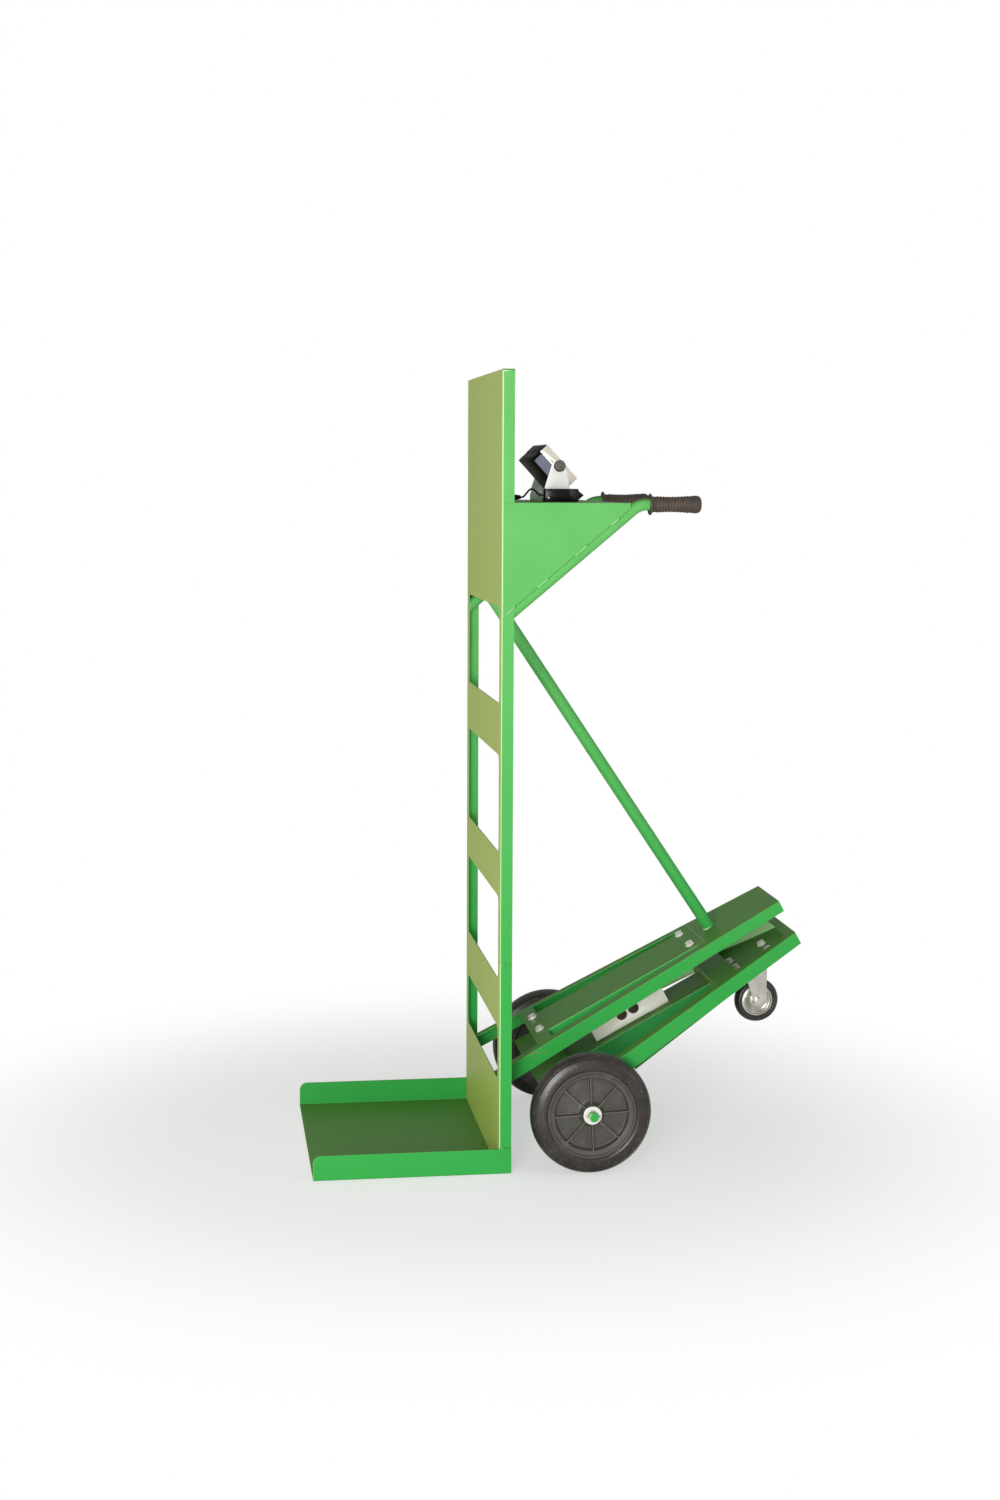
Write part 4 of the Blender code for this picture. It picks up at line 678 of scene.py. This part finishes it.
class TROLLEY_OT_wheels(bpy.types.Operator):
    """Turns the solid tyres and moulds the ribbed rims"""

    bl_idname = "trolley.wheels"
    bl_label = "Main wheels"

    def execute(self, context):
        seat_share = 0.7276
        seat = wheel_radius * seat_share
        for side, word in sides:
            place = wheel_place(side, wheel_y)
            body = f"main_wheel_{word}"
            tyre = put(turned(f"solid_tyre_{word}", self.tyre_section(seat)), place)
            finish(tyre, body, "tyre_rubber", finishes["rubber"], f"tyre_{word}")
            rim = put(self.ribbed_rim(f"ribbed_rim_{word}", seat), place)
            close_up(rim, 32)
            finish(rim, body, "rim_plastic", finishes["rim"], f"rim_{word}")
            bush_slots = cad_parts[f"wheel_bush_{word}"].data.materials
            bush_slots.clear()
            bush_slots.append(finishes["nylon"])
        return {"FINISHED"}

    def tyre_section(self, seat):
        """Section of a tyre: flat wall, groove near the shoulder and crowned tread."""
        half, radius = 28 * mm, wheel_radius
        section = mirrored([
            (seat + 0.3 * mm, half - 3 * mm),
            (seat + 5 * mm, half),
            (radius - 20 * mm, half - 1.2 * mm),
            (radius - 9.4 * mm, half - 5.2 * mm),
            (radius - 8.4 * mm, half - 8.2 * mm),
            (radius - 6.6 * mm, half - 7.4 * mm),
            (radius - 2.2 * mm, half - 15 * mm),
            (radius, 3.6 * mm),
        ])
        curves = {1: 3, 2: 8, 3: 1.5, 4: 1, 5: 2, 6: 5, 7: 3}
        return rounded(section, {i: curves[min(i, 15 - i)] * mm for i in range(1, 15)}, 5)

    def ribbed_rim(self, name, seat):
        """Rim with an outer ridge, a sloped ring, a coned hub and tapered ribs."""
        half, ring, bore, hub = 24 * mm, seat - 16 * mm, 13.3 * mm, 21 * mm
        section = [
            (bore, half), (hub, half), (25 * mm, 8 * mm), (ring - 1 * mm, 6 * mm),
            (ring, 17 * mm), (ring + 2.5 * mm, 19 * mm), (seat - 6 * mm, 20 * mm),
            (seat - 4.4 * mm, half), (seat, half),
            (seat, -half), (seat - 4.4 * mm, -half), (seat - 6 * mm, -20 * mm),
            (ring + 2.5 * mm, -19 * mm), (ring, -17 * mm), (ring - 1 * mm, -1 * mm),
            (25 * mm, -1 * mm), (hub, -half), (bore, -half),
        ]
        curves = {1: 2, 2: 6, 3: 4, 4: 1.5, 5: 1.5, 6: 1.5, 7: 2, 8: 1}
        rim = turned(name, rounded(section, {i: curves[min(i, 17 - i)] * mm for i in range(1, 17)}))
        rib_half, rib_low, rib_top, crest_share, first_angle = 2.6 * mm, 4 * mm, 18 * mm, 0.4, 0.05
        for index in range(sizes().rim_ribs):
            rib = brick("rib", (20 * mm, -rib_half, rib_low), (ring + 1.5 * mm, rib_half, rib_top))
            edit(rib)
            pick(rib, "verts", lambda v: v.co.z > rib_top - 1 * mm)
            bpy.ops.transform.resize(value=(1, crest_share, 1), center_override=(0, 0, rib_top))
            angle = math.tau * index / sizes().rim_ribs + first_angle
            fuse(rim, put(rib, Matrix.Rotation(angle, 4, "Z")))
        return rim


class TROLLEY_OT_axle(bpy.types.Operator):
    """Turns the axle, its washers and its pins"""

    bl_idname = "trolley.axle"
    bl_label = "Axle and washers"

    def execute(self, context):
        x, z, reach, pin_y, washer_y = wheel_x, wheel_radius, 329 * mm, 321 * mm, 311.3 * mm
        radius, end_round = 10 * mm, 1.2 * mm
        axle = rod("axle_bar", (x, -reach, z), (x, reach, z), radius, round_by=end_round)
        for side, word in sides:
            y, past = side * pin_y, 30 * mm
            fuse(axle, rod("pin_hole", (x - past, y, z), (x + past, y, z), 1.9 * mm, 16),
                 "DIFFERENCE")
        finish(close_up(axle), "root", "green_paint", finishes["enamel"], "axle")
        bore, rim, thickness = 10.3 * mm, 19.5 * mm, 2.5 * mm
        section = rounded([(bore, 0), (rim, 0), (rim, thickness), (bore, thickness)],
                          {1: 0.6 * mm, 2: 0.9 * mm})
        for side, word in sides:
            washer = put(turned(f"thrust_washer_{word}", section), wheel_place(side, washer_y))
            finish(washer, "root", "zinc_plate", finishes["bright_zinc"], f"axle_washer_{word}")
            y, half = side * pin_y, 15 * mm
            pin = rod(f"split_pin_{word}", (x - half, y, z), (x + half, y, z), 1.6 * mm, 24,
                      0.5 * mm)
            finish(pin, "root", "zinc_plate", finishes["zinc"], f"cotter_pin_{word}")
        return {"FINISHED"}


class TROLLEY_OT_caster(bpy.types.Operator):
    """Turns the caster wheel and rounds its pressed fork"""

    bl_idname = "trolley.caster"
    bl_label = "Swivel caster"

    def execute(self, context):
        wheel_s, wheel_t = 685 * mm, -41 * mm
        centre = boom_point(wheel_s, wheel_t)
        place = Matrix.Translation(centre) @ Matrix.Rotation(math.pi / 2, 4, "X")
        rim, bore, boss, face = 35 * mm, 5.3 * mm, 10.6 * mm, 19.4 * mm
        zinc = finishes["zinc"]
        tread = mirrored([
            (rim + 0.3 * mm, 13 * mm), (38 * mm, 16 * mm), (44 * mm, 14.6 * mm),
            (48.6 * mm, 7 * mm), (50 * mm, 0)])
        tyre = turned("caster_ring_tyre", rounded(tread, {i: 3 * mm for i in range(1, 8)}))
        finish(put(tyre, place), "caster_wheel", "tyre_rubber", finishes["rubber"], "caster_tyre")
        cover = mirrored([
            (bore, face), (boss, face), (boss, 5 * mm), (15 * mm, 4.4 * mm), (25 * mm, 10 * mm),
            (28.5 * mm, 13.3 * mm), (31 * mm, 11 * mm), (rim, 10.7 * mm)])
        curved = [i for i in range(1, len(cover) - 1) if i not in (7, 8)]
        hub = turned("caster_dust_cover", rounded(cover, {i: 1.6 * mm for i in curved}))
        finish(put(hub, place), "caster_wheel", "zinc_plate", zinc, "caster_hub")
        softened("caster_fork", "caster_swivel", "zinc_plate", zinc, 0.8 * mm, 3, 35)
        softened("caster_swivel_race", "caster_swivel", "zinc_plate", zinc, 0.3 * mm)
        softened("caster_top_plate", "root", "zinc_plate", zinc, 0.5 * mm)
        head, shank, end, under = 8.5 * mm, 5 * mm, 27.8 * mm, 22.8 * mm
        ends = mirrored([(0, end), (head, end), (head, under), (shank, under)])
        bolt = turned("caster_axle_screw", rounded(ends, {1: 1.4 * mm, 6: 1.4 * mm}), 48)
        finish(put(bolt, place), "caster_swivel", "zinc_plate", zinc, "caster_axle_bolt")
        return {"FINISHED"}


class TROLLEY_OT_handles(bpy.types.Operator):
    """Bends the handle tubes and moulds the ribbed grips"""

    bl_idname = "trolley.handles"
    bl_label = "Handles and grips"

    def execute(self, context):
        radius, bend, buried, end_x, grip_x = 12.5 * mm, 45 * mm, 30 * mm, 408.7 * mm, 307 * mm
        centre = Vector((handle_bend_x + bend * math.tan(handle_slope / 2), 0, handle_z - bend))
        to_bend = math.pi / 2 + handle_slope
        for side, word in sides:
            y = side * handle_y
            drop = (handle_bend_x + buried) * math.tan(handle_slope)
            back = Vector((-buried, y, handle_z - drop))
            turn_in = centre + bend * Vector((math.cos(to_bend), 0, math.sin(to_bend)))
            bpy.ops.mesh.primitive_circle_add(vertices=32, radius=radius, fill_type="NGON")
            tube = named(f"bent_tube_{word}")
            put(tube, Matrix.Translation(back) @ Matrix.Rotation(
                math.pi / 2 - handle_slope, 4, "Y"))
            edit(tube, "FACE")
            run = Vector((turn_in.x - back.x, 0, turn_in.z - back.z))
            bpy.ops.mesh.extrude_region_move(TRANSFORM_OT_translate={"value": run})
            bpy.ops.mesh.spin(
                steps=10, angle=handle_slope, center=(centre.x, y, centre.z), axis=(0, -1, 0))
            bpy.ops.mesh.extrude_region_move(
                TRANSFORM_OT_translate={"value": (end_x - centre.x, 0, 0)})
            close_up(tube)
            trim(tube, (panel_back, 0, 0), (1, 0, 0))
            finish(tube, "root", "green_paint", finishes["tube_enamel"], f"handle_tube_{word}")
            grip = turned(f"ribbed_grip_{word}", self.grip_section())
            put(grip, Matrix.Translation((grip_x, y, handle_z)) @ Matrix.Rotation(
                math.pi / 2, 4, "Y"))
            finish(grip, "root", "grip_rubber", finishes["grip"], f"grip_{word}")
        return {"FINISHED"}

    def grip_section(self):
        """Section of a grip: collar flange, waisted body with ribs, domed end."""
        length, dome, ribs, bore, dome_steps = 108 * mm, 9 * mm, sizes().grip_ribs, 12.8 * mm, 6
        girth, waist, swell, rib_height = 16.1 * mm, 1.7 * mm, 2.2 * mm, 1.6 * mm
        dome_core, dome_reach, bore_end = 9.4 * mm, 8.6 * mm, length - 6 * mm
        first_share, last_share = 0.07, 0.86
        outer = [(bore, 0), (21 * mm, 0), (22 * mm, 1 * mm), (22 * mm, 3 * mm),
                 (20 * mm, 4.4 * mm), (17.4 * mm, 6 * mm)]
        start, end = 8 * mm, length - dome - 3 * mm
        for index in range(ribs * 4 + 1):
            share = index / (ribs * 4)
            body = girth - waist * math.sin(math.pi * share) + swell * share ** 3
            height = rib_height if first_share < share < last_share else 0
            wave = height * (1 - math.cos(math.tau * share * ribs)) / 2
            outer.append((body + wave, start + (end - start) * share))
        for step in range(dome_steps):
            angle = math.pi / 2 * step / dome_steps
            outer.append((dome_core + dome_reach * math.cos(angle),
                          length - dome + dome * math.sin(angle)))
        return outer + [(dome_core, length), (0, length), (0, bore_end), (bore, bore_end)]


class TROLLEY_OT_strut(bpy.types.Operator):
    """Cuts the strut tube to its two faces"""

    bl_idname = "trolley.strut"
    bl_label = "Rear strut"

    def execute(self, context):
        foot = boom_point(strut_foot_s, boom_top)
        spare, seat_gap, radius = 60 * mm, 0.3 * mm, 13.45 * mm
        along = (foot - strut_top).normalized()
        tube = rod("strut_tube", strut_top - along * spare, foot + along * spare, radius, 64)
        trim(tube, (panel_back, 0, 0), (1, 0, 0))
        up = boom_turn @ Vector((0, 0, 1))
        trim(tube, boom_point(strut_foot_s, boom_top + seat_gap), up)
        finish(tube, "root", "green_paint", finishes["tube_enamel"], "rear_strut")
        return {"FINISHED"}


class TROLLEY_OT_fasteners(bpy.types.Operator):
    """Models one hex bolt and copies it to every bolted joint"""

    bl_idname = "trolley.fasteners"
    bl_label = "Hex bolts"

    def bolt(self, name, top, under):
        """Bolt with its washer, domed hex head and nut, along Z."""
        hex_radius, head_height, washer, gap = 9 * mm, 6.5 * mm, 1.65 * mm, 0.3 * mm
        head_middle, shank_radius, shank_top, tip = 5.15 * mm, 5 * mm, 3 * mm, 9 * mm
        bpy.ops.mesh.primitive_cylinder_add(vertices=6, radius=hex_radius, depth=head_height)
        head = named(name)
        put(head, Matrix.Translation((0, 0, top + head_middle)))
        edit(head, "FACE")
        pick(head, "faces", lambda face: face.normal.z > 0.9)
        bpy.ops.mesh.inset(thickness=1.1 * mm, depth=0.7 * mm)
        close_up(head)
        shank = [(0, top + shank_top), (shank_radius, top + shank_top),
                 (shank_radius, under - tip), (0, under - tip)]
        fuse(head, turned("shank", rounded(shank, {2: 0.8 * mm}), 32))
        for part_name, low, high, radius, count in (
                ("washer", top + gap, top + gap + washer, 10.5 * mm, 48),
                ("nut", under - gap - head_height, under - gap, hex_radius, 6)):
            fuse(head, rod(part_name, (0, 0, low), (0, 0, high), radius, count))
        return close_up(head)

    def execute(self, context):
        rows = [("channel_bolt", boom_top, 153.4 * mm, (226 * mm, 606 * mm), 52 * mm),
                ("caster_bolt", 54 * mm, 47.7 * mm, (674 * mm, 758 * mm), 30 * mm)]
        turn_step = 0.7
        for word, top, under, stations, half in rows:
            pattern = self.bolt(f"{word}_pattern", top, under)
            centres = [(s, y) for s in stations for y in (-half, half)]
            for index, (s, y) in enumerate(centres, 1):
                piece = copied(pattern, f"hex_{word}_{index}")
                put(piece, boom_turn @ Matrix.Translation((s, y, 0)) @ Matrix.Rotation(
                    index * turn_step, 4, "Z"))
                finish(piece, "root", "zinc_plate", finishes["bright_zinc"], f"{word}_{index}")
            bpy.data.objects.remove(pattern, do_unlink=True)
        return {"FINISHED"}


class TROLLEY_OT_load_cell(bpy.types.Operator):
    """Rounds the load cell and its spacers and fills its cut-out with a dark block of painted shade
    """

    bl_idname = "trolley.load_cell"
    bl_label = "Load cell"

    def execute(self, context):
        softened("load_cell", "root", "cell_aluminium", finishes["cell"], 0.8 * mm, 2, 50)
        softened("load_cell_upper_spacer", "root", "zinc_plate", finishes["zinc"], 0.5 * mm)
        softened("load_cell_lower_spacer", "root", "zinc_plate", finishes["zinc"], 0.2 * mm, 1)
        # Painted shade: a dark block fills the cut-out where only shade shows.
        middle_s, middle_t, half = 415.5 * mm, 105 * mm, 34 * mm
        lobe_s, lobe_t, lobe_radius = 15 * mm, 11.5 * mm, 12.3 * mm
        hole_shade_block = brick("cell_sealing", (-lobe_s, -half, -lobe_t), (lobe_s, half, lobe_t))
        for s in (-lobe_s, lobe_s):
            for t in (-lobe_t, lobe_t):
                fuse(hole_shade_block, rod("lobe", (s, -half, t), (s, half, t), lobe_radius))
        put(hole_shade_block, boom_turn @ Matrix.Translation((middle_s, 0, middle_t)))
        finish(close_up(hole_shade_block), "root", "black_plastic", finishes["sealing"])
        return {"FINISHED"}


class TROLLEY_OT_indicator(bpy.types.Operator):
    """Rounds the indicator, its bracket, its controls and the cable box, and models the
    strap over its top end and the lamp"""

    bl_idname = "trolley.indicator"
    bl_label = "Weight indicator"

    def execute(self, context):
        rows = [
            ("indicator_bezel", "indicator", "bright_shell", "bezel", 1, 3, 30),
            ("indicator_housing", "indicator", "grey_plastic", "grey", 0.8, 3, 30),
            ("indicator_back_cover", "indicator", "black_plastic", "black", 1.2, 3, 30),
            ("indicator_bracket", "root", "stainless", "stainless", 0.3, 2, 40),
            ("cable_box", "root", "black_plastic", "gloss_black", 1, 3, 25),
            ("display_lens", "indicator", "display_glass", "display", 0.3, 2, 40),
            *[(f"key_{i}", f"indicator_key_{i}", "key_rubber", "key", 0.3, 2, 40)
              for i in range(1, 5)],
            *[(f"knob_{word}", f"clamp_knob_{word}", "black_plastic", "knob", 0.5, 2, 30)
              for word in ("left", "right")],
        ]
        for node, body, slot, material, edge_round, segments, angle in rows:
            softened(node, body, slot, finishes[material], edge_round * mm, segments, angle)
        case_x, case_z, case_tilt = 148 * mm, 1478.3 * mm, math.radians(42.6)
        case_place = Matrix.Translation((case_x, 0, case_z)) @ Matrix.Rotation(-case_tilt, 4, "Y")
        strap_half, cap_half = 88.25 * mm, 88.1 * mm
        strap = brick("cover_strap", (-31.8 * mm, -strap_half, 43.4 * mm),
                      (-10.2 * mm, strap_half, 50.25 * mm), 0.6 * mm)
        cap = brick("cap", (-12 * mm, -cap_half, 48.8 * mm), (9 * mm, cap_half, 51.15 * mm),
                    0.5 * mm)
        put(fuse(strap, cap), case_place)
        finish(close_up(strap), "indicator", "black_plastic", finishes["black"])
        radius, height, crown = 2.2 * mm, 1.2 * mm, 1.6 * mm
        lamp_place = (118 * mm, -139.8 * mm, 1411.5 * mm)
        lamp = turned("status_lamp", rounded(
            [(0, 0), (radius, 0), (radius, height), (0, crown)], {2: 0.9 * mm}), 32)
        put(lamp, Matrix.Translation(lamp_place) @ Matrix.Rotation(math.pi / 2, 4, "X"))
        finish(lamp, "root", "black_plastic", finishes["lamp"])
        return {"FINISHED"}


class TROLLEY_OT_cable_corner(bpy.types.Operator):
    """Rounds the gland and lays the lead's arc"""

    bl_idname = "trolley.cable_corner"
    bl_label = "Cable corner"

    def execute(self, context):
        softened("cable_gland", "root", "black_plastic", finishes["black"], 0.6 * mm, 2, 30)
        lead_y, floor, rise, straight, steps = -105 * mm, 1403.3 * mm, 15 * mm, 2 * mm, 48
        start_x, start_z = 66.6 * mm, floor + 9 * mm
        end_x, end_z = 107.7 * mm, floor + 13.5 * mm
        points = [(start_x - straight, lead_y, start_z)]
        for step in range(steps + 1):
            share = step / steps
            points.append((start_x + (end_x - start_x) * share, lead_y,
                           start_z + (end_z - start_z) * share
                           + rise * math.sin(math.pi * share) ** 2))
        points.append((end_x + straight, lead_y, end_z))
        lead = line_piece("indicator_lead", points, 2 * mm)
        finish(lead, "root", "black_plastic", finishes["black"], "indicator_cable")
        return {"FINISHED"}


class TROLLEY_OT_welds(bpy.types.Operator):
    """Lays the weld beads where the sheets meet"""

    bl_idname = "trolley.welds"
    bl_label = "Weld beads"

    def execute(self, context):
        enamel = finishes["enamel"]
        flange_y, console_y, lift, rear_x = 277.6 * mm, 276.4 * mm, 6.9 * mm, 25 * mm
        stitch_radius, seam_radius = 2 * mm, 0.5 * mm
        for side, word in sides:
            y = side * flange_y
            for name, front_x, z in (("seam", 4 * mm, 448 * mm), ("lip", 5 * mm, 55 * mm)):
                weld(f"{name}_bead_{word}", [(front_x, y, z), (rear_x, y, z)], enamel)
            for index, ends in enumerate(((12, 30), (76, 98), (152, 176), (226, 244)), 1):
                points = [(x * mm, side * console_y, self.console_edge(x * mm) + lift)
                          for x in ends]
                weld(f"console_stitch_{word}_{index}", points, enamel, stitch_radius)
        along = (boom_point(strut_foot_s, boom_top) - strut_top).normalized()
        up = (boom_turn @ Vector((0, 0, 1))).normalized()
        foot_bead_t, top_bead_x = 161.6 * mm, 3.6 * mm
        foot = boom_point(strut_foot_s, foot_bead_t)
        weld("strut_foot_bead", self.ring(foot, along, up, foot), enamel)
        weld("strut_top_bead", self.ring(strut_top, along, Vector((1, 0, 0)),
                                         Vector((top_bead_x, 0, 0))), enamel)
        seam_s, seam_t, seam_half = 634 * mm, 161 * mm, 84 * mm
        seam = [boom_point(seam_s, seam_t, y) for y in (-seam_half, seam_half)]
        weld("boom_seam_bead", seam, finishes["zinc"], seam_radius)
        return {"FINISHED"}

    def console_edge(self, x):
        """Height of the console's sloping edge."""
        return handle_z - (handle_bend_x - x) * math.tan(handle_slope)

    def ring(self, centre, along, normal, level):
        """Line round the strut where it meets a plane through a level."""
        steps, radius = 64, 13.9 * mm
        across = Vector((0, 1, 0))
        lean = along.cross(across).normalized()
        points = []
        for step in range(steps + 1):
            angle = math.tau * step / steps
            point = centre + (across * math.cos(angle) + lean * math.sin(angle)) * radius
            points.append(point - along * ((point - level).dot(normal) / along.dot(normal)))
        return points


class TROLLEY_OT_stage(bpy.types.Operator):
    """Lays the pale floor, the soft lamps, the world and the camera"""

    bl_idname = "trolley.stage"
    bl_label = "Stage"

    def execute(self, context):
        self.floor()
        self.world(context.scene)
        self.lamps()
        self.camera(context.scene)
        context.scene.view_settings.view_transform = "Standard"
        return {"FINISHED"}

    def floor(self):
        """Pale paper that keeps the shadow near the trolley and fades to white."""
        bpy.ops.mesh.primitive_plane_add(size=40)
        floor = named("studio_floor")
        edit(floor)
        bpy.ops.mesh.subdivide(number_cuts=3)
        deselect_all()
        material, tree, shader, where = new_finish("studio_paper", Roughness=0.9)
        shader.inputs["Base Color"].default_value = linear("F4F4F2")
        glow = add_node(tree, "ShaderNodeEmission", inputs={"Color": (1, 1, 1, 1), "Strength": 1.0})
        path = add_node(tree, "ShaderNodeLightPath")
        far = add_node(tree, "ShaderNodeVectorMath", {"operation": "LENGTH"}, {0: where})
        fade = ramp(tree, far.outputs["Value"], 0.55, 1.5, 1.0, 0.5,
                    {"interpolation_type": "SMOOTHSTEP"})
        share = times(tree, path.outputs["Is Camera Ray"], fade)
        mixed = add_node(tree, "ShaderNodeMixShader", inputs={
            0: share, 1: shader.outputs[0], 2: glow.outputs[0]})
        tree.links.new(mixed.outputs[0], tree.nodes["Material Output"].inputs["Surface"])
        floor.data.materials.append(material)

    def world(self, scene):
        """White behind the trolley, and a softer white that lights it."""
        world = bpy.data.worlds.new("studio_world")
        scene.world = world
        world.use_nodes = True
        tree = world.node_tree
        path = add_node(tree, "ShaderNodeLightPath")
        sky = tree.nodes["Background"]
        sky.inputs["Color"].default_value = (1, 1, 1, 1)
        tree.links.new(ramp(tree, path.outputs["Is Camera Ray"], 0, 1, 1.0, 0.44),
                       sky.inputs["Strength"])

    def lamps(self):
        """Soft key lamp beside the camera, a fill from the right and a low one for the booms."""
        for name, place, size, power in (("key_lamp", (-1.6, -4.5, 1.5), 1.6, 108),
                                         ("fill_lamp", (3.4, -2.4, 2.0), 2.4, 24),
                                         ("low_lamp", (-0.9, -3.2, 0.5), 0.7, 26)):
            bpy.ops.object.light_add(type="AREA", location=place)
            lamp = bpy.context.object
            lamp.name = name
            lamp.data.size = size
            lamp.data.energy = power
            aim = Vector((0.15, 0, min(0.8, place[2]))) - Vector(place)
            lamp.rotation_euler = aim.to_track_quat("-Z", "Y").to_euler()

    def camera(self, scene):
        """The camera of the photograph."""
        place, yaw, pitch, roll = (-0.6257, -4.7064, 1.4567), 0.14, 0.1242, 0.0045
        ahead = Vector((math.sin(yaw) * math.cos(pitch), math.cos(yaw) * math.cos(pitch),
                        -math.sin(pitch)))
        right = Vector((math.cos(yaw), -math.sin(yaw), 0))
        up = right.cross(ahead)
        across = right * math.cos(roll) + up * math.sin(roll)
        rise = up * math.cos(roll) - right * math.sin(roll)
        bpy.ops.object.camera_add()
        camera = bpy.context.object
        turn = Matrix((across, rise, -ahead)).transposed().to_4x4()
        camera.matrix_world = Matrix.Translation(place) @ turn
        camera.data.lens = 52.7
        camera.data.sensor_width = 36
        camera.data.clip_end = 60
        scene.camera = camera


class TROLLEY_PT_panel(bpy.types.Panel):
    """Lists the pieces in the sidebar"""

    bl_idname = "TROLLEY_PT_panel"
    bl_label = "Weighing trolley"
    bl_space_type = "VIEW_3D"
    bl_region_type = "UI"
    bl_category = "Trolley"

    def draw(self, context):
        column = self.layout.column()
        for group in (context.scene.trolley_sizes, context.scene.trolley_colours):
            for key in group.__annotations__:
                column.prop(group, key)
        for operator in operators:
            column.operator(operator.bl_idname)


operators = (
    TROLLEY_OT_sheet,
    TROLLEY_OT_wheels,
    TROLLEY_OT_axle,
    TROLLEY_OT_caster,
    TROLLEY_OT_handles,
    TROLLEY_OT_strut,
    TROLLEY_OT_fasteners,
    TROLLEY_OT_load_cell,
    TROLLEY_OT_indicator,
    TROLLEY_OT_cable_corner,
    TROLLEY_OT_welds,
    TROLLEY_OT_stage,
)
classes = (TrolleySizes, TrolleyColours, *operators, TROLLEY_PT_panel)


def register():
    for item in classes:
        bpy.utils.register_class(item)
    bpy.types.Scene.trolley_sizes = bpy.props.PointerProperty(type=TrolleySizes)
    bpy.types.Scene.trolley_colours = bpy.props.PointerProperty(type=TrolleyColours)


def unregister():
    del bpy.types.Scene.trolley_colours
    del bpy.types.Scene.trolley_sizes
    for item in reversed(classes):
        bpy.utils.unregister_class(item)


def main():
    """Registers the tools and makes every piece."""
    register()
    deselect_all()
    make_finishes()
    for operator in operators:
        getattr(bpy.ops.trolley, operator.bl_idname.partition(".")[2])()
    deselect_all()


if __name__ == "__main__":
    main()
